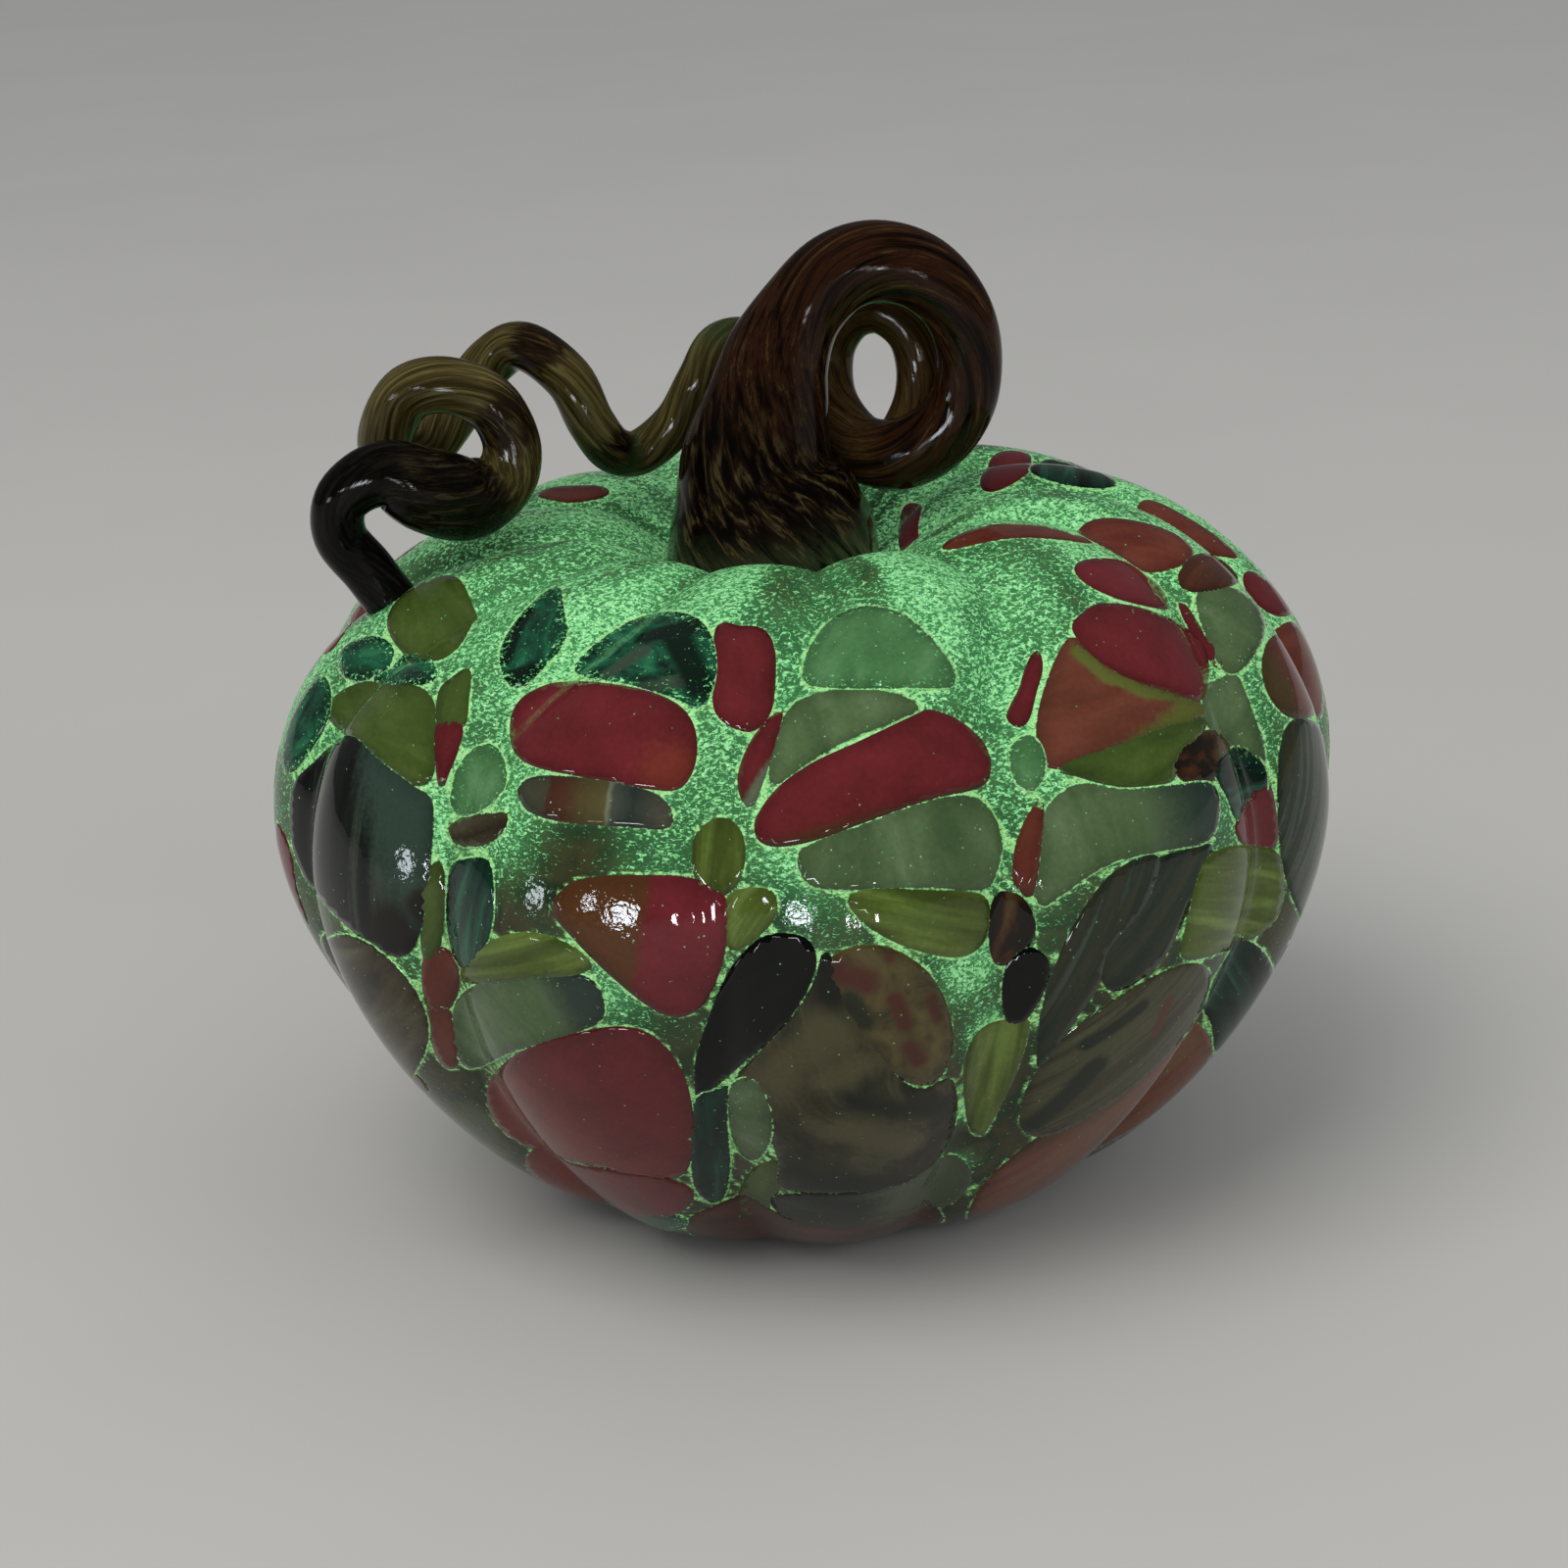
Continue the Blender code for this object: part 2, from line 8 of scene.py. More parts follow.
import bmesh
import bpy
import numpy as np
from mathutils import Matrix, Vector
from mathutils.bvhtree import BVHTree
from mathutils.geometry import convex_hull_2d, delaunay_2d_cdt
from mathutils.kdtree import KDTree

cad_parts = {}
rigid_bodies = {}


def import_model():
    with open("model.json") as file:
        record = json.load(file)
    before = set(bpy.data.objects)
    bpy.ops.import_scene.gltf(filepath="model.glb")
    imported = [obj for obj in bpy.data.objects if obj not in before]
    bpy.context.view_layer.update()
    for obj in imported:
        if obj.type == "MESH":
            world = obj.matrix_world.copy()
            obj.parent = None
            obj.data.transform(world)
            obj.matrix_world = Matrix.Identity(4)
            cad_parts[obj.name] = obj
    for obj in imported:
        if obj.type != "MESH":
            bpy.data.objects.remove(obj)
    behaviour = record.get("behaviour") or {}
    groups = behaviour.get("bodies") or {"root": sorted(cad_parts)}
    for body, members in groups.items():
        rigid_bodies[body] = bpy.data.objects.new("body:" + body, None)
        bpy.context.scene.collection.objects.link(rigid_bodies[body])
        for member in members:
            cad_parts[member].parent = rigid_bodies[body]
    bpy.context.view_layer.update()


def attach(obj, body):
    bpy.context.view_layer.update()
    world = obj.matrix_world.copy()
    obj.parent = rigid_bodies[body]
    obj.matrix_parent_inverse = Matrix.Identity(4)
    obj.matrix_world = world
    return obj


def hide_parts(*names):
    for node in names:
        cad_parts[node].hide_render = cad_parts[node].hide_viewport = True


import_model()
mm = 0.001
tiny = 1e-12  # keeps a division from meeting 0


view = {
    "place": (0.0, -0.4177, 0.197),
    "aim": (0.0, 0.0, 0.045),
    "lens": 76.5,
    "sensor": 36.0,
    "roll": -3.927,
    "shift": (-0.01582, 0.02923),
    "picture": 1600,
    "clip": (0.01, 20),
}


def addCamera():
    data = bpy.data.cameras.new("photoCamera")
    data.lens = view["lens"]
    data.sensor_width = view["sensor"]
    data.shift_x, data.shift_y = view["shift"]
    data.clip_start, data.clip_end = view["clip"]
    camera = bpy.data.objects.new("photoCamera", data)
    bpy.context.scene.collection.objects.link(camera)
    place = Vector(view["place"])
    look = (Vector(view["aim"]) - place).to_track_quat("-Z", "Y").to_matrix().to_4x4()
    turn = Matrix.Rotation(math.radians(view["roll"]), 4, "Z")
    camera.matrix_world = Matrix.Translation(place) @ look @ turn
    bpy.context.scene.camera = camera
    return camera


camera = addCamera()
eye = Vector(view["place"])
pixel = 1 / 7.9 * mm  # the size of the photo's pixel on the skin
print("camera placed")


# The direction in which the camera sees a pixel of the photo
def pixelRay(x, y):
    scale = view["sensor"] / view["lens"]
    across = (x / view["picture"] - 0.5 + view["shift"][0]) * scale
    up = (0.5 - y / view["picture"] + view["shift"][1]) * scale
    return (camera.matrix_world.to_3x3() @ Vector((across, up, -1))).normalized()


# The body: its outline, its ribs with the azimuths of their valleys, and their swirl in degrees
pumpkin = {
    "radius": 70 * mm, "girth": 53 * mm,
    "crest": 90 * mm, "crestRadius": 31 * mm, "dimple": 12 * mm,
    "base": 29 * mm, "baseRing": 7 * mm, "ringShares": (0.25, 0.5, 0.75, 1.0), "kick": 2 * mm,
    "shoulderFullness": 0.55, "bellyFullness": 0.40,
    "dimpleFloor": 0.45, "dimpleLip": 0.60, "kickShoulder": (0.60, 0.75), "kickMiddle": 0.02,
    "wall": 6.5 * mm, "neck": 7 * mm,
    "valleys": (-96, -70, -41, -10, 19, 55, 80, 106, 134, 164, 195, 229),
    "relief": 3.8 * mm, "rimRelief": 2.0 * mm, "sharpness": 2.2,
    "dimpleFade": 1.5, "footFade": 0.7,
    "rimSwirl": 17, "swirlReach": 45 * mm, "footSwirl": 4, "fadeHeight": 12 * mm,
    "inset": 0.2 * mm,
    "stepsPerRib": 35, "dimpleSteps": 36, "shoulderSteps": 64, "bellySteps": 84,
    "valleyRounding": 2, "cavityStep": 5,
}


def smooth(value):
    value = min(1.0, max(0.0, value))
    return value * value * (3 - 2 * value)


def bezier(start, handleA, handleB, end, steps):
    points = []
    for step in range(steps + 1):
        t = step / steps
        weights = ((1 - t) ** 3, 3 * t * (1 - t) ** 2, 3 * t * t * (1 - t), t ** 3)
        corners = start, handleA, handleB, end
        points.append(tuple(sum(w * c[axis] for w, c in zip(weights, corners)) for axis in (0, 1)))
    return points


# Radius, height, rib relief and swirl of every ring, from the neck over the crest to the base
def skinRows():
    p = pumpkin
    floor = p["crest"] - p["dimple"]
    dimple = bezier((0, floor), (p["dimpleFloor"] * p["crestRadius"], floor),
                    (p["dimpleLip"] * p["crestRadius"], p["crest"]), (p["crestRadius"], p["crest"]),
                    p["dimpleSteps"])
    wide, high = p["radius"] - p["crestRadius"], p["crest"] - p["girth"]
    shoulder = bezier((p["crestRadius"], p["crest"]),
                      (p["crestRadius"] + p["shoulderFullness"] * wide, p["crest"]),
                      (p["radius"], p["girth"] + p["shoulderFullness"] * high),
                      (p["radius"], p["girth"]), p["shoulderSteps"])
    belly = bezier((p["radius"], p["girth"]), (p["radius"], p["girth"] * (1 - p["bellyFullness"])),
                   (p["base"] + p["bellyFullness"] * (p["radius"] - p["base"]), 0),
                   (p["base"], 0), p["bellySteps"])
    rows = [(r, z, p["rimRelief"] * (r / p["crestRadius"]) ** p["dimpleFade"], p["rimSwirl"])
            for r, z in dimple if r >= p["neck"]]
    travelled = 0.0
    for index in range(1, len(shoulder)):
        travelled += math.dist(shoulder[index - 1], shoulder[index])
        swell = math.sin(0.5 * math.pi * index / p["shoulderSteps"])
        relief = p["rimRelief"] + (p["relief"] - p["rimRelief"]) * swell
        swirl = p["rimSwirl"] * (1 - smooth(travelled / p["swirlReach"]))
        rows.append((*shoulder[index], relief, swirl))
    for r, z in belly[1:]:
        relief = p["relief"] * min(1.0, max(0.0, z / p["fadeHeight"])) ** p["footFade"]
        rows.append((r, z, relief, -p["footSwirl"] * smooth(1 - z / p["girth"])))
    inside = p["base"] - p["baseRing"]
    under = [(p["base"] - share * p["baseRing"], 0.0) for share in p["ringShares"]]
    under += [(p["kickShoulder"][0] * inside, p["kickShoulder"][1] * p["kick"])]
    under += [(p["kickMiddle"] * inside, p["kick"])]
    return rows + [(r, z, 0.0, -p["footSwirl"]) for r, z in under]


# Azimuth and depth share of every column: 0 on a rib's crest, 1 in a valley, whose fold is rounded
def skinColumns():
    azimuths, depths = [], []
    valleys = pumpkin["valleys"]
    for index, valley in enumerate(valleys):
        following = valleys[index + 1] if index + 1 < len(valleys) else valleys[0] + 360
        for step in range(pumpkin["stepsPerRib"]):
            share = step / pumpkin["stepsPerRib"]
            azimuths.append(valley + (following - valley) * share)
            depths.append(abs(2 * share - 1) ** pumpkin["sharpness"])
    depths = np.array(depths)
    for _ in range(pumpkin["valleyRounding"]):
        depths = 0.25 * np.roll(depths, 1) + 0.5 * depths + 0.25 * np.roll(depths, -1)
    return np.array(azimuths), depths


rows = np.array(skinRows())
azimuths, depths = skinColumns()


# The outline's normals, as their shares out and up
def rowNormals(outline):
    before = np.vstack((outline[:1], outline[:-1]))
    after = np.vstack((outline[1:], outline[-1:]))
    run, drop = after[:, 0] - before[:, 0], before[:, 1] - after[:, 1]
    length = np.hypot(run, drop)
    return drop / length, run / length


# The ribbed skin as rings of points. The base ring stays flat
def skinGrid():
    move = -rows[:, 2, None] * depths[None, :] - pumpkin["inset"]
    radius = rows[:, 0, None] + outward[:, None] * move
    angle = np.radians(azimuths[None, :] + rows[:, 3, None])
    height = np.maximum(rows[:, 1, None] + upward[:, None] * move, 0.0)
    height[rows[:, 1] == 0] = 0.0
    return np.stack((radius * np.sin(angle), -radius * np.cos(angle), height), -1)


def gridFaces(ringCount, width, start=0, flip=False):
    faces = []
    for ring in range(ringCount - 1):
        for column in range(width):
            a = start + ring * width + column
            b = start + ring * width + (column + 1) % width
            face = (a, a + width, b + width, b)
            faces.append(face[::-1] if flip else face)
    return faces


def newMesh(name, points, faces):
    mesh = bpy.data.meshes.new(name)
    mesh.from_pydata([tuple(p) for p in points], [], faces)
    mesh.update()
    mesh.polygons.foreach_set("use_smooth", [True] * len(mesh.polygons))
    return mesh


# Turns a closed mesh's faces outward and keeps its edges sharp
def faceOutward(mesh, sharp=50):
    shape = bmesh.new()
    shape.from_mesh(mesh)
    bmesh.ops.recalc_face_normals(shape, faces=shape.faces)
    shape.to_mesh(mesh)
    shape.free()
    mesh.set_sharp_from_angle(angle=math.radians(sharp))
    return mesh


def newPiece(name, mesh, nodes=()):
    piece = bpy.data.objects.new(name, mesh)
    bpy.context.scene.collection.objects.link(piece)
    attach(piece, "root")
    if nodes:
        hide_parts(*nodes)


# A number or a vector for each point of a mesh, for its material to read
def setValues(mesh, name, values):
    values = np.asarray(values, np.float32)
    kind, key = ("FLOAT", "value") if values.ndim == 1 else ("FLOAT_VECTOR", "vector")
    mesh.attributes.new(name, kind, "POINT").data.foreach_set(key, values.ravel())


outward, upward = rowNormals(rows)
width = len(azimuths)
skinPoints = skinGrid().reshape(-1, 3)
skinTree = BVHTree.FromPolygons([Vector(p) for p in skinPoints], gridFaces(len(rows), width))
print("skin worked out:", len(skinPoints), "points")


# The skin's point under a pixel. A pixel just past the outline takes the nearest skin
def underPixel(x, y):
    ray = pixelRay(x, y)
    hit = skinTree.ray_cast(eye, ray)[0]
    if hit is None:
        middle = Vector((0, 0, pumpkin["girth"]))
        hit = skinTree.find_nearest(eye + ray * (middle - eye).dot(ray))[0]
    return hit


chipShape = {
    "thickness": 1.2 * mm, "proud": 0.03 * mm, "edgeDrop": 0.015 * mm, "grow": 0.25 * mm,
    "step": 0.004 * mm, "steps": 8,  # each chip lies a hair higher, so none flicker where two meet
    "spacing": 0.9 * mm, "rowGap": 0.866, "outlineStep": 0.65 * mm, "margin": 0.45 * mm,
    "castHeight": 22 * mm, "edge": 0.1 * mm, "spotFade": 0.7,
    "grazing": 0.50,  # chips seen more aslant than this take a calmer outline than the one traced
    "flowStep": (37.0, 0, 5.0), "backSeed": 100, "strewnSeed": 200,
}

# Each traced chip: slot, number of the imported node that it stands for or 0, look, and outline in
# pixels. Then come where its second tint (spots) and its deep colour (dark) lie, as spots of x, y and
# radius or strokes of x, y to x, y and radius, or a fade of the tint from x, y to x, y. Turned has its
# streaks run across it
chipTraces = [
    ("crimson", 1, "crimson", [(522, 745), (527, 722), (545, 706), (575, 697), (620, 699), (665, 708),
     (695, 724), (708, 748), (707, 780), (692, 803), (660, 803), (600, 792), (548, 781), (527, 767)],
     {"spots": [(688, 790, 30)]}),
    ("crimson", 2, "crimson", [(732, 642), (755, 640), (778, 643), (789, 665), (788, 712), (780, 735),
     (764, 745), (740, 736), (729, 714)]),
    ("crimson", 3, "crimsonDusty", [(772, 848), (775, 832), (795, 805), (830, 780), (880, 757), (935, 731),
     (950, 726), (980, 738), (1003, 760), (1009, 785), (998, 802), (945, 815), (880, 838), (830, 856),
     (795, 862), (778, 858)], {"fade": (885, 815, 893, 842)}),
    ("crimson", 0, "crimsonPale", [(797, 728), (789, 760), (778, 795), (767, 822), (757, 812), (755, 790),
     (765, 762), (782, 738)], {"fade": (777, 775, 790, 783)}),
    ("crimson", 4, "crimsonBrown", [(580, 905), (610, 896), (655, 895), (700, 897), (730, 908), (742, 928),
     (737, 975), (722, 1015), (700, 1035), (670, 1030), (625, 995), (585, 955), (565, 928)],
     {"fade": (668, 960, 640, 955)}),
    ("crimson", 5, "crimson", [(499, 1112), (515, 1088), (545, 1069), (605, 1052), (645, 1050), (675, 1066),
     (697, 1100), (706, 1145), (704, 1180), (693, 1199), (660, 1201), (600, 1188), (540, 1170),
     (507, 1145)], {"fade": (620, 1120, 530, 1140)}),
    ("crimson", 0, "crimson", [(537, 1177), (600, 1190), (660, 1203), (700, 1203), (705, 1222),
     (690, 1234), (640, 1235), (585, 1222), (550, 1200)], {"fade": (640, 1200, 600, 1235)}),
    ("crimson", 6, "crimson", [(1096, 642), (1108, 625), (1126, 617), (1162, 621), (1201, 636),
     (1226, 657), (1232, 686), (1224, 713), (1192, 703), (1150, 690), (1117, 669)]),
    ("rust", 1, "rustOlive", [(1092, 652), (1112, 666), (1146, 688), (1190, 706), (1227, 718), (1229, 732),
     (1190, 744), (1145, 760), (1100, 775), (1073, 783), (1062, 765), (1060, 735), (1072, 690)],
     {"spots": [(1101, 666, 1128, 690, 8), (1128, 690, 1170, 706, 8), (1170, 706, 1226, 722, 7)],
      "fade": (1146, 735, 1168, 767)}),
    ("olive", 6, "olive", [(1080, 785), (1100, 774), (1145, 759), (1190, 743), (1228, 730), (1226, 748),
     (1212, 764), (1200, 778), (1196, 795), (1165, 803), (1130, 799), (1100, 791)]),
    ("crimson", 7, "crimson", [(1058, 665), (1062, 682), (1056, 705), (1049, 732), (1040, 741),
     (1029, 733), (1032, 722), (1042, 702), (1048, 682)]),
    ("crimson", 8, "crimsonDusty", [(1096, 581), (1108, 573), (1135, 571), (1160, 580), (1182, 599),
     (1191, 615), (1182, 621), (1150, 612), (1118, 601)]),
    ("rust", 2, "rust", [(1100, 541), (1117, 531), (1150, 531), (1185, 539), (1208, 551), (1217, 563),
     (1200, 577), (1178, 585), (1152, 572), (1120, 555)]),
    ("rust", 0, "rust", [(957, 562), (987, 543), (1020, 535), (1060, 536), (1092, 545), (1120, 556),
     (1080, 550), (1030, 548), (990, 556)]),
    ("rust", 4, "rustBrown", [(1204, 588), (1214, 571), (1232, 566), (1252, 577), (1262, 592), (1245, 600),
     (1222, 603), (1208, 600)]),
    ("crimson", 12, "rust", [(1162, 512), (1175, 510), (1205, 525), (1235, 547), (1268, 570), (1250, 566),
     (1217, 547), (1180, 528)]),
    ("crimson", 9, "crimson", [(1269, 590), (1280, 584), (1300, 600), (1316, 621), (1308, 628),
     (1290, 622), (1276, 606)]),
    ("rust", 3, "rust", [(1298, 655), (1320, 637), (1337, 655), (1350, 685), (1353, 715), (1345, 730),
     (1330, 712), (1322, 728), (1308, 730), (1292, 712), (1288, 680)], {"fade": (1325, 690, 1298, 700)}),
    ("crimson", 10, "crimson", [(1261, 842), (1275, 813), (1293, 799), (1301, 830), (1302, 858),
     (1288, 868), (1268, 860)]),
    ("crimson", 11, "salmon", [(988, 1242), (1028, 1186), (1078, 1147), (1128, 1112), (1178, 1076),
     (1228, 1055), (1236, 1078), (1207, 1122), (1167, 1160), (1107, 1200), (1025, 1234)],
     {"fade": (1128, 1148, 1108, 1120)}),
    ("crimson", 0, "crimson", [(1204, 616), (1211, 621), (1225, 643), (1237, 661), (1247, 681),
     (1240, 679), (1226, 659), (1211, 636)]),
    ("crimson", 0, "crimson", [(447, 740), (470, 741), (466, 765), (458, 785), (450, 803), (446, 775)]),
    ("crimson", 0, "crimson", [(279, 846), (291, 852), (300, 890), (304, 930), (307, 958), (297, 945),
     (285, 910), (279, 875)]),
    ("crimson", 0, "rust", [(1042, 850), (1062, 818), (1061, 860), (1053, 912), (1040, 905),
     (1034, 890)]),
    ("crimson", 0, "crimson", [(921, 522), (934, 512), (938, 524), (934, 542), (927, 558), (919, 558)]),
    ("crimson", 0, "crimson", [(1003, 500), (1010, 475), (1028, 460), (1054, 458), (1035, 470),
     (1018, 488), (1006, 506)]),
    ("rust", 0, "rust", [(432, 985), (447, 968), (462, 975), (468, 1000), (460, 1026), (438, 1030)]),
    ("rust", 0, "rust", [(437, 1034), (458, 1031), (466, 1060), (466, 1086), (454, 1088),
     (443, 1068)]),
    ("rust", 0, "rustBrown", [(320, 986), (345, 1010), (395, 1070), (436, 1104), (428, 1110), (380, 1076),
     (335, 1028)]),
    ("rust", 0, "rustBrown", [(702, 1236), (760, 1243), (860, 1247), (958, 1231), (955, 1246),
     (860, 1264), (760, 1266), (704, 1254)]),
    ("rust", 0, "rust", [(331, 664), (338, 640), (352, 617), (367, 603), (358, 632), (342, 662)]),
    ("rust", 0, "rust", [(549, 503), (582, 496), (620, 499), (612, 508), (575, 512)]),
    ("olive", 1, "olive", [(397, 636), (405, 614), (425, 598), (450, 589), (470, 594), (481, 620),
     (474, 652), (456, 672), (428, 672), (405, 660)]),
    ("olive", 2, "olive", [(334, 722), (355, 703), (385, 696), (420, 700), (441, 716), (443, 760),
     (440, 792), (425, 800), (400, 786), (370, 760), (345, 742)]),
    ("olive", 0, "olive", [(449, 706), (462, 692), (478, 684), (477, 712), (472, 741), (448, 741)]),
    ("olive", 3, "oliveBright", [(708, 872), (712, 852), (728, 838), (745, 838), (757, 855), (758, 882),
     (748, 905), (728, 914), (712, 898)]),
    ("olive", 4, "oliveBright", [(867, 920), (885, 909), (940, 910), (1000, 914), (1008, 938), (1000, 964),
     (975, 975), (930, 966), (890, 946)]),
    ("olive", 0, "oliveBright", [(743, 918), (765, 908), (788, 912), (790, 934), (775, 952),
     (755, 967), (743, 962)]),
    ("olive", 5, "oliveBright", [(471, 998), (480, 980), (500, 963), (530, 953), (558, 956), (585, 968),
     (602, 986), (580, 994), (540, 996), (495, 1002)]),
    ("olive", 7, "oliveBright", [(1225, 890), (1240, 870), (1270, 864), (1304, 874), (1306, 925),
     (1285, 952), (1240, 972), (1207, 976), (1212, 940)]),
    ("olive", 8, "oliveBright", [(985, 1085), (1000, 1052), (1025, 1042), (1049, 1043), (1038, 1088),
     (1018, 1130), (1000, 1158), (988, 1140)]),
    ("olive", 9, "olive", [(755, 1218), (768, 1195), (790, 1184), (805, 1186), (798, 1205), (785, 1228),
     (770, 1243), (758, 1236)]),
    ("olive", 0, "olive", [(430, 905), (448, 880), (453, 915), (448, 965), (436, 985), (430, 950)]),
    ("teal", 1, "tealMarble", [(511, 673), (517, 650), (535, 625), (557, 604), (570, 600), (574, 622),
     (577, 650), (560, 674), (538, 697), (520, 698)],
     {"dark": [(516, 694, 548, 684, 9), (516, 672, 538, 626, 8)]}),
    ("teal", 2, "tealMarble", [(588, 680), (610, 657), (650, 632), (690, 625), (718, 638), (729, 668),
     (727, 700), (714, 722), (690, 712), (640, 697), (598, 690)],
     {"spots": [(618, 690, 656, 664, 9), (656, 702, 704, 694, 8)],
      "dark": [(660, 650, 706, 640, 12), (690, 650, 714, 700, 14)]}),
    ("teal", 3, "tealDeep", [(459, 887), (478, 876), (500, 880), (504, 925), (498, 960), (478, 988),
     (464, 978), (456, 940)]),
    ("teal", 4, "tealMarble", [(297, 735), (310, 708), (328, 692), (337, 702), (333, 740), (312, 770),
     (297, 790), (288, 770)]),
    ("teal", 5, "tealDeep", [(1235, 1005), (1255, 972), (1280, 958), (1292, 980), (1286, 1025),
     (1258, 1072), (1238, 1060)]),
    ("teal", 0, "tealMarble", [(346, 670), (357, 657), (380, 650), (400, 660), (395, 682), (372, 693),
     (352, 690)]),
    ("teal", 0, "tealMarble", [(378, 694), (398, 684), (415, 668), (436, 672), (446, 690), (430, 698),
     (400, 697)]),
    ("teal", 0, "tealDeep", [(1238, 782), (1262, 762), (1288, 778), (1293, 805), (1275, 815),
     (1262, 838), (1252, 815)]),
    ("teal", 0, "tealDeep", [(1049, 487), (1060, 474), (1078, 464), (1100, 461), (1128, 466), (1148, 475),
     (1125, 477), (1095, 479), (1070, 484)]),
    ("teal", 0, "tealDeep", [(708, 1126), (730, 1112), (744, 1104), (742, 1140), (745, 1190),
     (738, 1222), (722, 1226), (706, 1200)]),
    ("teal", 0, "baseGlass", [(792, 1238), (802, 1216), (860, 1222), (925, 1210), (962, 1180),
     (985, 1186), (976, 1222), (925, 1240), (860, 1244)], {"fade": (855, 1230, 940, 1205)}),
    ("teal", 0, "tealMarble", [(612, 1232), (650, 1238), (692, 1238), (698, 1250), (650, 1248),
     (620, 1243)]),
    ("mint", 1, "mintHaze", [(820, 682), (830, 655), (852, 630), (885, 619), (922, 628), (950, 652),
     (972, 682), (970, 700), (930, 702), (855, 702), (825, 698)]),
    ("mint", 2, "mint", [(805, 724), (830, 709), (870, 703), (915, 708), (938, 722), (920, 733),
     (870, 753), (825, 778), (795, 800), (785, 796), (790, 760)]),
    ("mint", 3, "mint", [(815, 872), (840, 856), (885, 840), (940, 820), (985, 812), (1010, 826),
     (1022, 858), (1016, 892), (1000, 908), (940, 905), (870, 908), (825, 902)]),
    ("mint", 4, "mintHaze", [(461, 822), (465, 790), (482, 766), (502, 760), (515, 778), (515, 803),
     (498, 822), (475, 832)]),
    ("mint", 5, "mint", [(462, 1055), (466, 1022), (490, 1004), (540, 998), (590, 994), (612, 1010),
     (614, 1040), (575, 1058), (520, 1074), (490, 1088), (472, 1086)], {"fade": (540, 1035, 605, 1015)}),
    ("mint", 6, "mint", [(1221, 608), (1238, 599), (1262, 602), (1282, 618), (1290, 640), (1282, 664),
     (1266, 684), (1252, 686), (1238, 668), (1227, 640)]),
    ("mint", 7, "mint", [(1064, 855), (1068, 825), (1100, 800), (1145, 806), (1195, 802), (1236, 800),
     (1244, 828), (1232, 858), (1185, 868), (1130, 882), (1085, 912), (1064, 925), (1055, 905)],
     {"fade": (1120, 850, 1250, 815)}),
    ("mint", 0, "mint", [(745, 1110), (762, 1100), (778, 1112), (788, 1145), (782, 1172), (768, 1184),
     (752, 1172), (744, 1142)]),
    ("mint", 0, "mintHaze", [(1032, 764), (1048, 750), (1062, 762), (1066, 787), (1055, 806),
     (1040, 802), (1033, 787)]),
    ("mint", 0, "mint", [(1228, 704), (1246, 692), (1262, 690), (1276, 720), (1292, 775), (1272, 774),
     (1246, 752), (1230, 738)]),
    ("mint", 0, "greyStreak", [(1300, 745), (1318, 735), (1340, 742), (1358, 765), (1364, 820),
     (1360, 870), (1345, 905), (1328, 935), (1315, 900), (1309, 850), (1306, 790)], {"turned": True}),
    ("mint", 0, "reed", [(1172, 884), (1204, 870), (1236, 864), (1224, 895), (1206, 940),
     (1180, 985), (1136, 1010), (1122, 975), (1142, 922)]),
    ("amber", 1, "bandedAmber", [(530, 805), (548, 794), (590, 795), (640, 803), (672, 814), (685, 832),
     (678, 844), (640, 842), (580, 838), (540, 826)], {"fade": (530, 815, 685, 830)}),
    ("amber", 2, "spottedOchre", [(845, 985), (870, 968), (905, 968), (940, 988), (962, 1020), (971, 1058),
     (964, 1090), (945, 1106), (915, 1096), (880, 1055), (855, 1018)],
     {"spots": [(850, 989, 884, 1002, 12), (908, 976, 6), (913, 1020, 924, 1046, 8),
                (928, 1068, 938, 1082, 8), (949, 1018, 957, 1040, 5), (948, 1060, 4)],
      "dark": [(866, 1020, 884, 1042, 9)]}),
    ("amber", 3, "swirl", [(752, 1101), (785, 1066), (812, 1036), (832, 1003), (842, 972), (852, 992),
     (864, 1030), (886, 1062), (916, 1101), (942, 1112), (968, 1101), (975, 1130), (965, 1170),
     (930, 1205), (865, 1218), (800, 1212), (797, 1188), (790, 1165), (783, 1130), (772, 1106)],
     {"spots": [(778, 1110, 842, 1052, 26), (836, 1104, 900, 1078, 15), (862, 1152, 930, 1166, 17)],
      "dark": [(872, 1124, 962, 1130, 14), (815, 1196, 915, 1208, 24), (838, 985, 848, 1014, 18)]}),
    ("amber", 4, "lens", [(1040, 1146), (1060, 1098), (1093, 1052), (1138, 1018), (1190, 994),
     (1224, 984), (1231, 1015), (1208, 1056), (1172, 1087), (1112, 1128), (1062, 1163)],
     {"spots": [(1056, 1146, 1118, 1088, 13), (1108, 1066, 1166, 1026, 8)],
      "dark": [(1178, 1056, 1192, 1022, 7)]}),
    ("amber", 5, "amberSmoke", [(325, 965), (345, 955), (380, 965), (420, 992), (430, 1040), (432, 1090),
     (405, 1092), (365, 1052), (335, 1005)]),
    ("amber", 0, "amberSmoke", [(457, 845), (475, 833), (500, 830), (518, 830), (514, 848), (495, 862),
     (467, 862)]),
    ("amber", 0, "amberDark", [(1198, 790), (1207, 762), (1228, 747), (1250, 752), (1258, 772),
     (1248, 792), (1222, 797)]),
    ("amber", 0, "amberDark", [(1010, 938), (1020, 912), (1043, 918), (1055, 948), (1038, 978),
     (1015, 980)]),
    ("smoke", 1, "smoke", [(810, 955), (828, 966), (830, 990), (815, 1022), (790, 1055), (755, 1085),
     (722, 1115), (712, 1118), (712, 1080), (728, 1030), (748, 988), (778, 958)]),
    ("smoke", 2, "smokeGlass", [(299, 805), (320, 780), (355, 752), (385, 776), (425, 806), (440, 820),
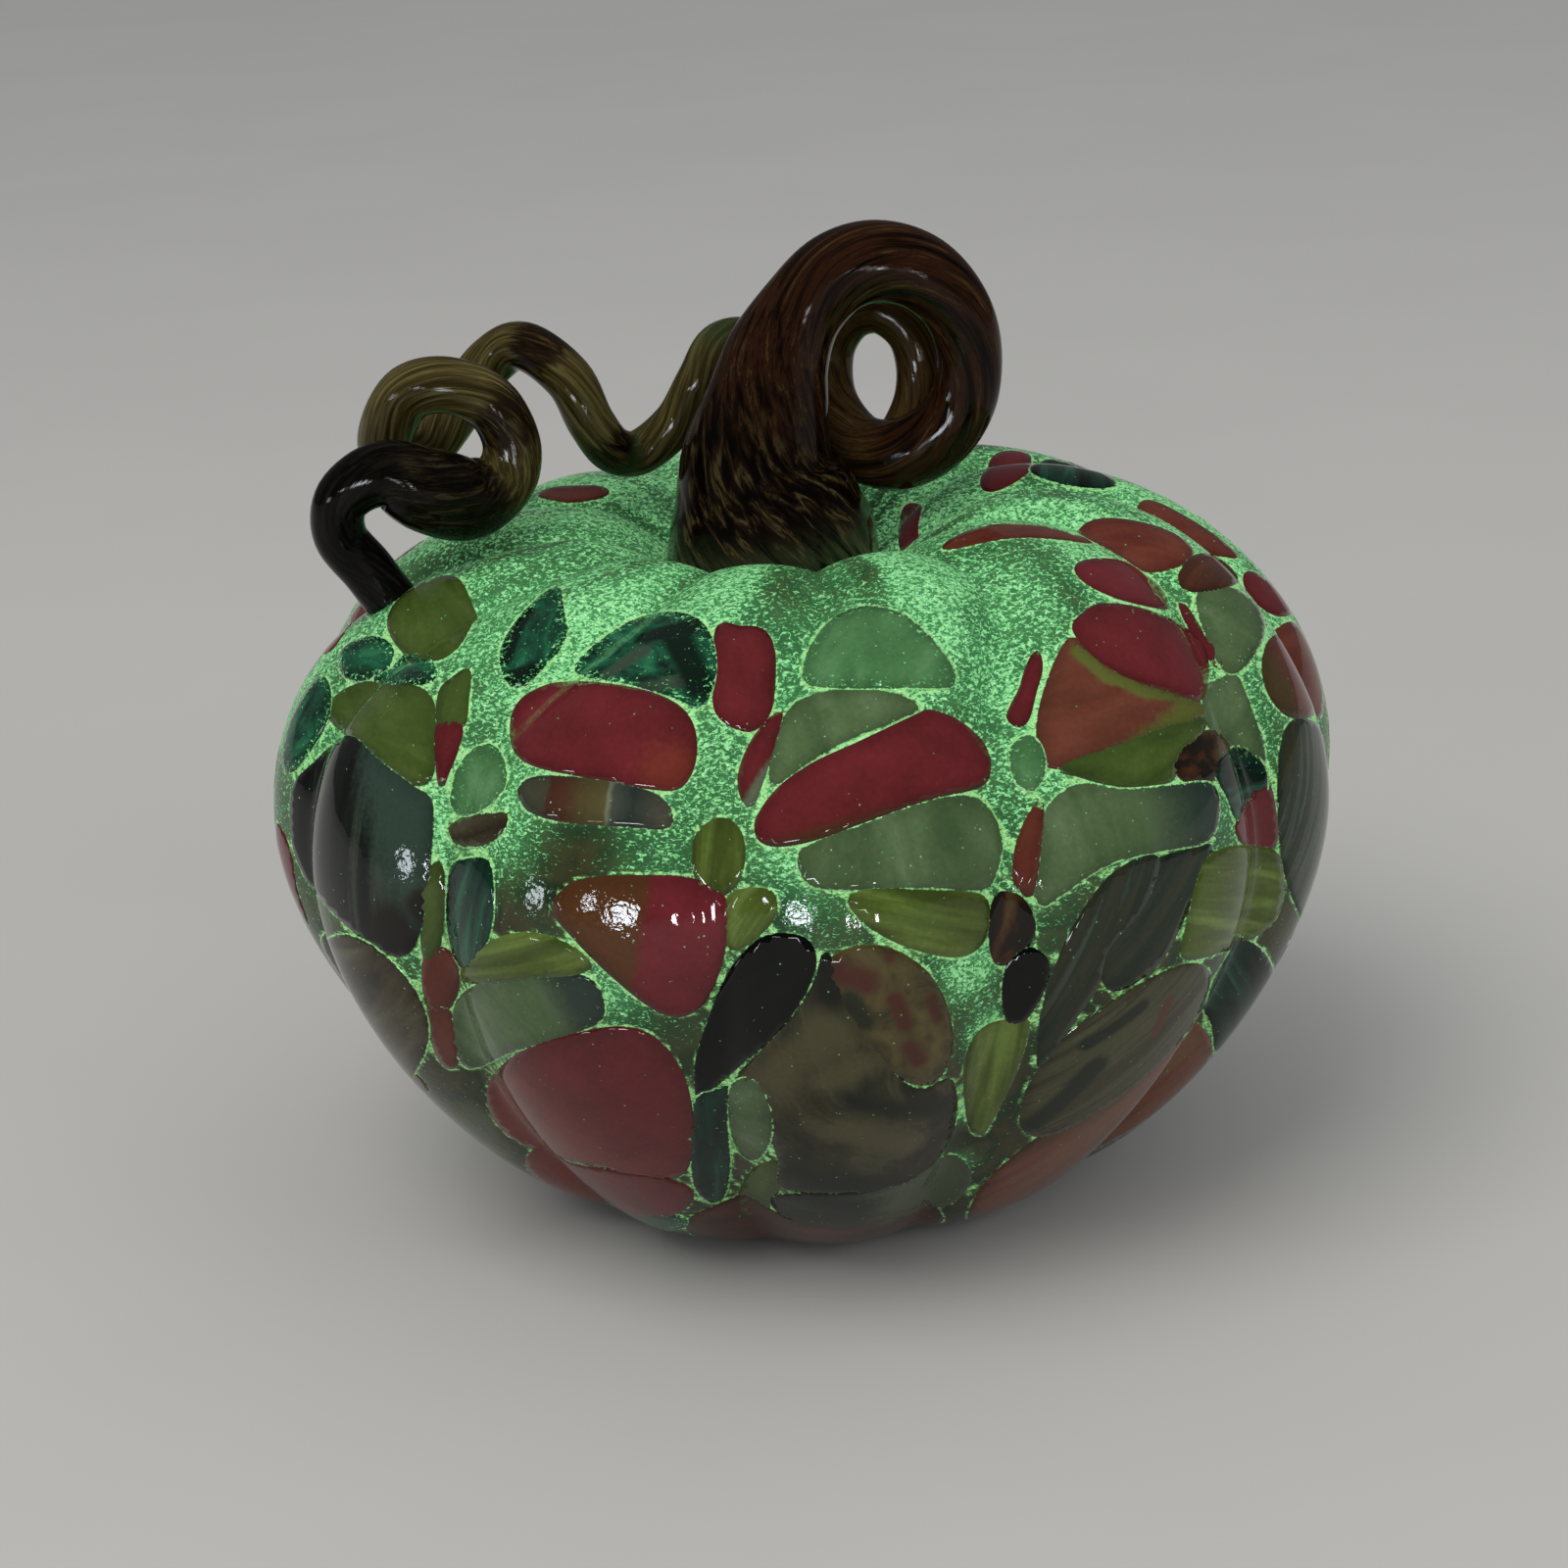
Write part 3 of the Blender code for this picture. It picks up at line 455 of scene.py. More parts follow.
     (438, 880), (428, 950), (410, 975), (380, 964), (345, 935), (312, 895), (298, 855)],
     {"fade": (352, 868, 412, 836), "dark": [(430, 925, 18), (402, 955, 30)]}),
    ("smoke", 0, "smoke", [(1026, 992), (1050, 968), (1070, 985), (1062, 1015), (1045, 1040),
     (1027, 1038)]),
    ("smoke", 0, "reed", [(1062, 1092), (1063, 1040), (1078, 988), (1100, 940), (1132, 896), (1166, 876),
     (1182, 880), (1166, 925), (1130, 968), (1118, 1008), (1092, 1045)]),
]

# Chips round the back: slot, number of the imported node, look, azimuth, height, length, width and tilt
backChips = [
    ("crimson", 13, "crimson", 108, 71.0, 20, 9, 12),
    ("crimson", 14, "crimsonBrown", 150, 57.6, 18, 12, -22),
    ("crimson", 15, "crimson", 197, 79.0, 18, 8, 30),
    ("crimson", 16, "rust", 244, 63.0, 17, 10, 72),
    ("crimson", 17, "crimson", 178, 30.6, 24, 15, 24),
    ("olive", 10, "olive", 127, 83.7, 14, 8, -25),
    ("olive", 11, "oliveBright", 221, 52.0, 15, 7, 10),
    ("teal", 6, "tealMarble", 168, 81.0, 13, 6, 62),
    ("mint", 8, "mint", 128, 38.7, 19, 8, -14),
    ("amber", 6, "swirl", 228, 29.7, 18, 10, -30),
    ("smoke", 3, "smokeGlass", 189, 55.8, 18, 8, 80),
]

# Small chips strewn where the photo doesn't reach: angles in degrees, sizes in mm, and each one's
# slot and look. They shrink as the tries run out. Tested are the shares of the outline that have to
# keep the gap
strewn = {
    "seed": 11, "tries": 3000, "gap": 1.3 * mm, "azimuths": (62, 298), "heights": (7, 86),
    "unseen": 0.05, "lengths": (9, 27), "shrink": 0.7, "slimness": (0.42, 0.78), "tilts": (-90, 90),
    "squareness": (2.2, 3.4), "bulge": 0.13, "calmer": 0.4, "tested": (0, 0.5, 1), "reach": 0.7,
    "looks": [("crimson", "crimson"), ("rust", "rust"), ("olive", "olive"), ("olive", "oliveBright"),
              ("teal", "tealMarble"), ("teal", "tealDeep"), ("mint", "mint"), ("mint", "mintHaze"),
              ("amber", "swirl"), ("amber", "amberSmoke"), ("smoke", "smokeGlass"), ("mint", "greyStreak")],
}

outerRows = rows[np.argmax(rows[:, 1]):]
outerNormals = rowNormals(outerRows)


# A frame on the rib crests' outline: its place, and its axes level, up and out
def crestFrame(azimuth, height):
    rising = slice(None, None, -1)
    heights = outerRows[rising, 1]
    radius = np.interp(height, heights, outerRows[rising, 0])
    out = np.interp(height, heights, outerNormals[0][rising])
    up = np.interp(height, heights, outerNormals[1][rising])
    angle = math.radians(azimuth)
    place = Vector((radius * math.sin(angle), -radius * math.cos(angle), height))
    normal = Vector((out * math.sin(angle), -out * math.cos(angle), up)).normalized()
    level = Vector((math.cos(angle), math.sin(angle), 0))
    return place, level, normal.cross(level), normal


# A rounded oblong. Two slow waves that depend on its tilt keep it from being regular
def roundedOutline(azimuth, height, length, width, tilt, bulge, squareness=2.8, taper=0.1, points=30):
    place, level, up, _ = crestFrame(azimuth, height)
    turn = math.radians(tilt)
    outline = []
    for index in range(points):
        angle = 2 * math.pi * index / points
        along = math.copysign(abs(math.cos(angle)) ** (2 / squareness), math.cos(angle))
        aside = math.copysign(abs(math.sin(angle)) ** (2 / squareness), math.sin(angle))
        swell = 1 + bulge * math.sin(3 * angle + tilt) + 0.5 * bulge * math.sin(2 * angle + 7 * tilt)
        x, y = 0.5 * length * along * swell, 0.5 * width * aside * (1 + taper * along) * swell
        outline.append(place + level * (x * math.cos(turn) - y * math.sin(turn))
                       + up * (x * math.sin(turn) + y * math.cos(turn)))
    return outline


# A point of a Catmull-Rom curve, between the second and the third of four
def between(before, start, end, after, t):
    return 0.5 * (2 * start + (end - before) * t
                  + (2 * before - 5 * start + 4 * end - after) * t * t
                  + (3 * start - before - 3 * end + after) * t ** 3)


# A closed curve through corner points
def rounded(corners, steps=5):
    corners = [np.array(c, float) for c in corners]
    points = []
    for index in range(len(corners)):
        four = [corners[(index + k) % len(corners)] for k in (-1, 0, 1, 2)]
        points += [between(*four, step / steps) for step in range(steps)]
    return points


# A loop's points moved to equal distances along it
def evenly(loop, step, fewest=10):
    loop = np.array(loop)
    closed = np.vstack((loop, loop[:1]))
    lengths = np.r_[0, np.cumsum(np.linalg.norm(np.diff(closed, axis=0), axis=1))]
    count = max(fewest, int(lengths[-1] / step))
    at = np.linspace(0, lengths[-1], count, endpoint=False)
    return np.stack([np.interp(at, lengths, closed[:, axis]) for axis in range(loop.shape[1])], -1)


def insideLoop(points, loop):
    x, y = points[:, 0:1], points[:, 1:2]
    ax, ay = loop[:, 0], loop[:, 1]
    bx, by = np.roll(ax, -1), np.roll(ay, -1)
    crosses = (ay > y) != (by > y)
    at = ax + (y - ay) * (bx - ax) / np.where(by == ay, tiny, by - ay)
    return (crosses & (x < at)).sum(1) % 2 == 1


def distanceToLoop(points, loop):
    a, b = loop, np.roll(loop, -1, 0)
    along = b - a
    share = ((points[:, None] - a) * along).sum(-1) / np.maximum((along ** 2).sum(-1), tiny)
    nearest = a + along * np.clip(share, 0, 1)[..., None]
    return np.linalg.norm(points[:, None] - nearest, axis=-1).min(1)


# How far points lie from a stroke between two pixels, or from one pixel, in shares of its radius
def awayFromStroke(places, stroke):
    start, end = np.array(underPixel(*stroke[:2])), np.array(underPixel(*stroke[-3:-1]))
    run = end - start
    share = np.clip((places - start) @ run / max(run @ run, tiny), 0, 1)
    return np.linalg.norm(places - start - share[:, None] * run, axis=1) / (stroke[-1] * pixel)


# The loop round a shape without its spikes: its hull, kept to its broad curves
def calmed(loop, waves=3):
    hull = evenly(loop[convex_hull_2d([Vector(p) for p in loop])], chipShape["outlineStep"])
    turns = np.fft.fft(hull[:, 0] + 1j * hull[:, 1])
    turns[waves + 1:-waves] = 0
    calm = np.fft.ifft(turns)
    return np.stack((calm.real, calm.imag), -1)


def grown(loop, distance):
    following = np.roll(loop, -1, 0)
    along = following - np.roll(loop, 1, 0)
    turning = math.copysign(1, (loop[:, 0] * following[:, 1] - loop[:, 1] * following[:, 0]).sum())
    across = np.stack((along[:, 1], -along[:, 0]), -1) * turning
    return loop + distance * across / np.linalg.norm(across, axis=1)[:, None]


# A loop filled with an even net of triangles that all turn the same way
def filled(loop):
    low, high, spacing = loop.min(0), loop.max(0), chipShape["spacing"]
    net = np.array([(x + 0.5 * spacing * (row % 2), y)
                    for row, y in enumerate(np.arange(low[1], high[1], spacing * chipShape["rowGap"]))
                    for x in np.arange(low[0], high[0], spacing)]).reshape(-1, 2)
    net = net[insideLoop(net, loop)]
    if len(net):
        net = net[distanceToLoop(net, loop) > chipShape["margin"]]
    ring = [(k, (k + 1) % len(loop)) for k in range(len(loop))]
    found = delaunay_2d_cdt([Vector(p) for p in np.vstack((loop, net))], ring, [], 1, 1e-7)
    flat = np.array([tuple(v) for v in found[0]])
    triangles = [tuple(f) for f in found[2]]
    a, b, c = (Vector(flat[k]) for k in triangles[0])
    if (b - a).cross(c - a) < 0:
        triangles = [t[::-1] for t in triangles]
    return flat, triangles


# A chip's middle, and its axes out, level and up, from the skin under its corners
def chipFrame(corners):
    middle = sum(corners, Vector()) / len(corners)
    heart = Vector((0, 0, 0.5 * pumpkin["crest"]))
    normal = Vector()
    for corner in corners + [middle]:
        facing = skinTree.find_nearest(corner)[1]
        normal += facing if facing.dot(corner - heart) > 0 else -facing
    normal.normalize()
    level = Vector((0, 0, 1)).cross(normal)
    level = level.normalized() if level.length > 0.1 else Vector((1, 0, 0))
    return middle, normal, level, normal.cross(level)


# Where a chip's second tint and its deep colour lie, from 0 to 1
def chipMasks(places, extras):
    masks = []
    for key in ("spots", "dark"):
        mask = np.zeros(len(places))
        for stroke in extras.get(key, ()):
            away = awayFromStroke(places, stroke)
            mask = np.maximum(mask, np.exp(-chipShape["spotFade"] * away * away))
        masks.append(mask)
    if "fade" in extras:
        x0, y0, x1, y1 = extras["fade"]
        start, end = np.array(underPixel(x0, y0)), np.array(underPixel(x1, y1))
        run = np.clip((places - start) @ (end - start) / ((end - start) @ (end - start)), 0, 1)
        masks[0] = np.maximum(masks[0], run)
    return masks


# Places in mm along and across a chip's long axis, moved so that no two chips have the same streaks
def chipFlow(flat, seed, turned):
    spread = flat - flat.mean(0)
    axes = np.linalg.eigh(spread.T @ spread)[1]
    flow = np.c_[spread @ (axes if turned else axes[:, ::-1]) / mm, np.zeros(len(flat))]
    return flow + np.array(chipShape["flowStep"]) * seed


chipPoints, chipEdges = [], []  # every chip's points so far, and those on the rims


# One chip as points, faces and values: its face is the skin's own, and it stops one thickness in
def chipPatch(outline, extras, seed, grow=chipShape["grow"]):
    corners = [Vector(p) for p in outline]
    middle, normal, level, up = chipFrame(corners)
    axes = np.array((level, up))
    loop = evenly([axes @ np.array(c - middle) for c in corners], chipShape["outlineStep"])
    if normal.dot((eye - middle).normalized()) < chipShape["grazing"]:
        loop = calmed(loop)
    loop = grown(loop, grow)
    flat, triangles = filled(loop)
    rim = distanceToLoop(flat, loop)
    lift = chipShape["proud"] + chipShape["step"] * (seed % chipShape["steps"])
    top, below = [], []
    for (x, y), depth in zip(flat, rim):
        start = middle + level * x + up * y
        place, facing, _, _ = skinTree.ray_cast(start + normal * chipShape["castHeight"], -normal)
        if place is None:
            place, facing, _, _ = skinTree.find_nearest(start)
        facing = facing if facing.dot(normal) > 0 else -facing
        proud = lift - chipShape["edgeDrop"] * (1 - smooth(depth / chipShape["spacing"]))
        surface = place + facing * proud
        surface.z = max(surface.z, 0.0)
        top.append(surface)
        below.append(place - facing * chipShape["thickness"])
    count = len(top)
    edges = dict.fromkeys(pair for t in triangles for pair in zip(t, t[1:] + t[:1]))
    sides = [(b, a, a + count, b + count) for a, b in edges if (b, a) not in edges]
    faces = triangles + sides + [tuple(k + count for k in t[::-1]) for t in triangles]
    places = np.array([tuple(p) for p in top])
    chipPoints.extend(places)
    chipEdges.extend(places[rim < chipShape["edge"]])
    tint, deep = chipMasks(places, extras)
    flow = chipFlow(flat, seed, "turned" in extras)
    return {"points": np.vstack((places, np.array([tuple(p) for p in below]))), "faces": faces,
            "topCount": len(triangles), "rim": np.r_[rim, np.zeros(count)] / mm,
            "flow": np.vstack((flow, flow)), "tint": np.r_[tint, tint], "deep": np.r_[deep, deep]}


def chipPiece(name, patches, look, nodes=()):
    points, faces, shaded, start = [], [], [], 0
    for patch in patches:
        faces += [tuple(k + start for k in face) for face in patch["faces"]]
        shaded += [k < patch["topCount"] for k in range(len(patch["faces"]))]
        points.append(patch["points"])
        start += len(patch["points"])
    mesh = newMesh(name, np.vstack(points), faces)
    mesh.polygons.foreach_set("use_smooth", shaded)
    for key in ("rim", "tint", "deep", "flow"):
        setValues(mesh, key, np.concatenate([patch[key] for patch in patches]))
    newPiece(name, mesh, nodes)
    mesh.materials.append(chipPaint(look))


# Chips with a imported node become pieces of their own, and the rest join their kind in loose
def addTraced(loose):
    for index, (slot, number, look, corners, *extras) in enumerate(chipTraces):
        outline = [underPixel(x, y) for x, y in rounded(corners)]
        patch = chipPatch(outline, extras[0] if extras else {}, index)
        if number:
            chipPiece(f"{slot}Chip{number}", [patch], look, [f"{slot}_chip_{number}"])
        else:
            loose.setdefault((slot, look), []).append(patch)


def addBack():
    for index, (slot, number, look, azimuth, height, length, width, tilt) in enumerate(backChips):
        outline = roundedOutline(azimuth, height * mm, length * mm, width * mm, tilt,
                                 strewn["calmer"] * strewn["bulge"])
        patch = chipPatch(outline, {}, chipShape["backSeed"] + index)
        chipPiece(f"{slot}Chip{number}", [patch], look, [f"{slot}_chip_{number}"])


# Chips thrown at the sides and back, each kept only where it clears all that lie there
def strewChips(loose):
    draw = random.Random(strewn["seed"])
    taken = np.array(chipPoints)
    for index in range(strewn["tries"]):
        azimuth, height = draw.uniform(*strewn["azimuths"]), draw.uniform(*strewn["heights"])
        length = draw.uniform(*strewn["lengths"]) * (1 - strewn["shrink"] * index / strewn["tries"])
        width = length * draw.uniform(*strewn["slimness"])
        tilt, squareness = draw.uniform(*strewn["tilts"]), draw.uniform(*strewn["squareness"])
        look = draw.choice(strewn["looks"])
        place, _, _, facing = crestFrame(azimuth, height * mm)
        if facing.dot((eye - place).normalized()) > strewn["unseen"]:
            continue
        outline = roundedOutline(azimuth, height * mm, length * mm, width * mm, tilt,
                                 strewn["bulge"], squareness)
        middle = sum(outline, Vector()) / len(outline)
        spread = [middle + (p - middle) * share for share in strewn["tested"] for p in outline]
        test = np.array([tuple(skinTree.find_nearest(p)[0]) for p in spread])
        reach = strewn["reach"] * length * mm + strewn["gap"]
        near = taken[np.linalg.norm(taken - test[0], axis=1) < reach]
        if len(near) and np.linalg.norm(test[:, None] - near[None], axis=-1).min() < strewn["gap"]:
            continue
        loose.setdefault(look, []).append(chipPatch(outline, {}, chipShape["strewnSeed"] + index, 0.0))
        taken = np.array(chipPoints)


def addChips():
    loose = {}
    addTraced(loose)
    addBack()
    strewChips(loose)
    for (slot, look), patches in loose.items():
        chipPiece(f"{look}Flakes", patches, look)
    print("chips:", len(chipTraces) + len(backChips), "traced and placed, in all",
          sum(len(p) for p in loose.values()), "loose flakes")


# A socket with which sums can be written: each operator adds its Math node
class Wire:
    def __init__(self, paint, socket):
        self.paint, self.socket = paint, socket

    def maths(self, operation, first, second):
        return self.paint.node("Math", {"operation": operation}, {0: first, 1: second})

    def __add__(self, other):
        return self.maths("ADD", self, other)

    def __sub__(self, other):
        return self.maths("SUBTRACT", self, other)

    def __rsub__(self, other):
        return self.maths("SUBTRACT", other, self)

    def __mul__(self, other):
        return self.maths("MULTIPLY", self, other)

    def __pow__(self, other):
        return self.maths("POWER", self, other)

    __radd__, __rmul__ = __add__, __mul__

    # 0 below low and 1 above high, with a soft step between
    def above(self, low, high):
        return self.paint.node("MapRange", {"interpolation_type": "SMOOTHSTEP"},
                               {"Value": self, "From Min": low, "From Max": high})


# A material or world and its nodes
class Paint:
    def __init__(self, owner, shader="Principled BSDF", **sockets):
        owner.use_nodes = True
        self.owner, self.tree = owner, owner.node_tree
        self.shader = self.tree.nodes[shader]
        self.feed(self.shader, sockets)

    def feed(self, node, sockets):
        for key, value in sockets.items():
            key = key.replace("_", " ") if isinstance(key, str) else key
            if isinstance(value, Wire):
                self.tree.links.new(value.socket, node.inputs[key])
            else:
                node.inputs[key].default_value = value

    # Any node: its type, its settings, and its sockets' values or links
    def node(self, kind, settings=None, sockets=None, out=0):
        made = self.tree.nodes.new("ShaderNode" + kind)
        for key, value in (settings or {}).items():
            if key == "stops":
                ramp = made.color_ramp
                while len(ramp.elements) < len(value):
                    ramp.elements.new(1.0)
                for element, (place, colour) in zip(ramp.elements, value):
                    element.position, element.color = place, (*colour, 1)
            else:
                setattr(made, key, value)
        self.feed(made, sockets or {})
        return Wire(self, made.outputs[out])

    def coords(self):
        return self.node("TexCoord", out="Object")

    def value(self, name, out="Fac"):
        return self.node("Attribute", {"attribute_name": name}, out=out)

    def stretch(self, vector, scale):
        return self.node("Mapping", {}, {"Vector": vector, "Scale": scale})

    def noise(self, vector, scale, detail=2.0, roughness=0.5, distortion=0.0):
        return self.node("TexNoise", {}, {"Vector": vector, "Scale": scale, "Detail": detail,
                                          "Roughness": roughness, "Distortion": distortion})

    def cells(self, vector, scale, out="Distance"):
        return self.node("TexVoronoi", {}, {"Vector": vector, "Scale": scale}, out)

    def split(self, colour):
        return self.node("SeparateColor", {}, {0: colour})

    def ramp(self, wire, stops):
        return self.node("ValToRGB", {"stops": stops}, {"Fac": wire})

    def mix(self, share, a, b, blend="MIX"):
        a, b = ((*c, 1) if isinstance(c, tuple) and len(c) == 3 else c for c in (a, b))
        return self.node("Mix", {"data_type": "RGBA", "blend_type": blend}, {0: share, 6: a, 7: b}, out=2)

    # What the powder gives off by itself where it covers the glass
    def shine(self, cover, colour):
        return self.mix(cover * glow["share"], (0, 0, 0), colour)

    def bump(self, height, strength, depth):
        return self.node("Bump", {}, {"Strength": strength, "Distance": depth, "Height": height})

    def finish(self, **sockets):
        self.feed(self.shader, sockets)
        return self.owner


# What all the glass shares: how much it mirrors, and the slight waves of its clear surface
glass = {"specular": 0.28, "waveScale": 620, "waveDepth": 0.1 * mm, "wave": 0.14}


def glassPaint(name, **sockets):
    return Paint(bpy.data.materials.new(name), **{"Specular_IOR_Level": glass["specular"], **sockets})


def waves(paint, coords, rougher=0.0):
    height = (paint.noise(coords, glass["waveScale"], 3.0, 0.55) - 0.5) * (glass["wave"] + rougher)
    return paint.bump(height, 1.0, glass["waveDepth"])


glow = {
    "gap": (0.026, 0.120, 0.040), "low": (0.054, 0.235, 0.076), "mid": (0.105, 0.42, 0.145),
    "high": (0.22, 0.67, 0.25), "spark": (0.50, 0.92, 0.48), "line": (0.36, 0.64, 0.19),
    "share": 0.14,  # how much of its colour the powder gives off by itself
}

powder = {
    "fleckScale": 2000, "fleckStretch": (0.85, 0.85, 1.5), "bare": 0.70, "covered": 0.40, "softness": 0.15,
    "grainScale": 3400, "grainLeast": 0.30, "grainMore": 0.95,
    "dotScale": 2100, "dotSize": (0.10, 0.32), "dotsFrom": 0.97, "dotsMore": 0.5, "dotLevel": 0.55,
    "shown": (0.03, 0.30),  # levels between which the powder comes to hide what is under it
}


# Powder as short flecks and grains for a density from 0 to 1: its cover, its colour and its height
def powderOn(paint, coords, density):
    p = powder
    flecks = paint.noise(paint.stretch(coords, p["fleckStretch"]), p["fleckScale"], 3.0, 0.62, 0.8)
    grains = paint.noise(coords, p["grainScale"], 1.0)
    low = p["bare"] - density * (p["bare"] - p["covered"])
    level = flecks.above(low, low + p["softness"]) * (p["grainLeast"] + grains * p["grainMore"])
    chosen = paint.split(paint.cells(coords, p["dotScale"], "Color"))
    chosen = chosen.above(p["dotsFrom"] - density * p["dotsMore"], 1.0)
    dots = (1 - paint.cells(coords, p["dotScale"]).above(*p["dotSize"])) * chosen
    level = level + dots * p["dotLevel"]
    colour = paint.ramp(level, [(0.0, glow["gap"]), (0.22, glow["low"]), (0.48, glow["mid"]),
                                (0.72, glow["high"]), (1.0, glow["spark"])])
    return level.above(*p["shown"]), colour, level


bodyLook = {
    "tintScale": 36, "streakScale": (70, 70, 16), "patchScale": 170, "wobbleScale": 1000, "wobble": 0.7,
    "line": (0.50, 0.88), "linePowder": 1.05, "lineTint": 0.45, "lineUnder": 0.75,
    "grainScale": 1100, "grain": 0.42, "bump": 0.6, "bumpDepth": 0.2 * mm, "clear": 0.05, "matt": 0.20,
    "dark": (0.014, 0.020, 0.010), "brown": (0.046, 0.036, 0.015), "olive": (0.056, 0.060, 0.024),
    "teal": (0.008, 0.034, 0.018), "grey": (0.066, 0.084, 0.054), "haze": (0.072, 0.290, 0.098),
}


# The body: tinted glass, powder as thick as its own mask says, and a raised line round each chip
def bodyPaint():
    look = bodyLook
    paint = glassPaint("powderedGlass")
    coords = paint.coords()
    density, edge = paint.value("powder"), paint.value("edge")
    broad = paint.noise(coords, look["tintScale"], 3.0, 0.55, 1.2)
    streaks = paint.noise(paint.stretch(coords, look["streakScale"]), 1.0, 4.0, 0.6, 0.6)
    under = paint.ramp(broad * 0.55 + streaks * 0.45, [
        (0.34, look["teal"]), (0.43, look["dark"]), (0.49, look["brown"]), (0.54, look["dark"]),
        (0.59, look["olive"]), (0.65, look["grey"])])
    patchy = paint.noise(coords, look["patchScale"], 2.0)
    under = paint.mix((density ** 2.0) * (0.40 + patchy * 0.9), under, look["haze"])
    wobble = paint.noise(coords, look["wobbleScale"], 2.0)
    line = 1 - (edge + wobble * look["wobble"]).above(*look["line"])
    cover, colour, level = powderOn(paint, coords, density + line * (look["linePowder"] - density * 0.65))
    lineColour = paint.mix(wobble.above(0.35, 0.65), glow["low"], glow["line"])
    under = paint.mix(line * look["lineUnder"], under, lineColour)
    colour = paint.mix(cover, under, paint.mix(line * look["lineTint"], colour, glow["line"]))
    height = level + paint.noise(coords, look["grainScale"], 2.0) * look["grain"]
    return paint.finish(Base_Color=colour, Emission_Color=paint.shine(cover, colour), Emission_Strength=1.0,
                        Normal=paint.bump(height, look["bump"], look["bumpDepth"]),
                        Roughness=look["clear"] + cover * look["matt"])


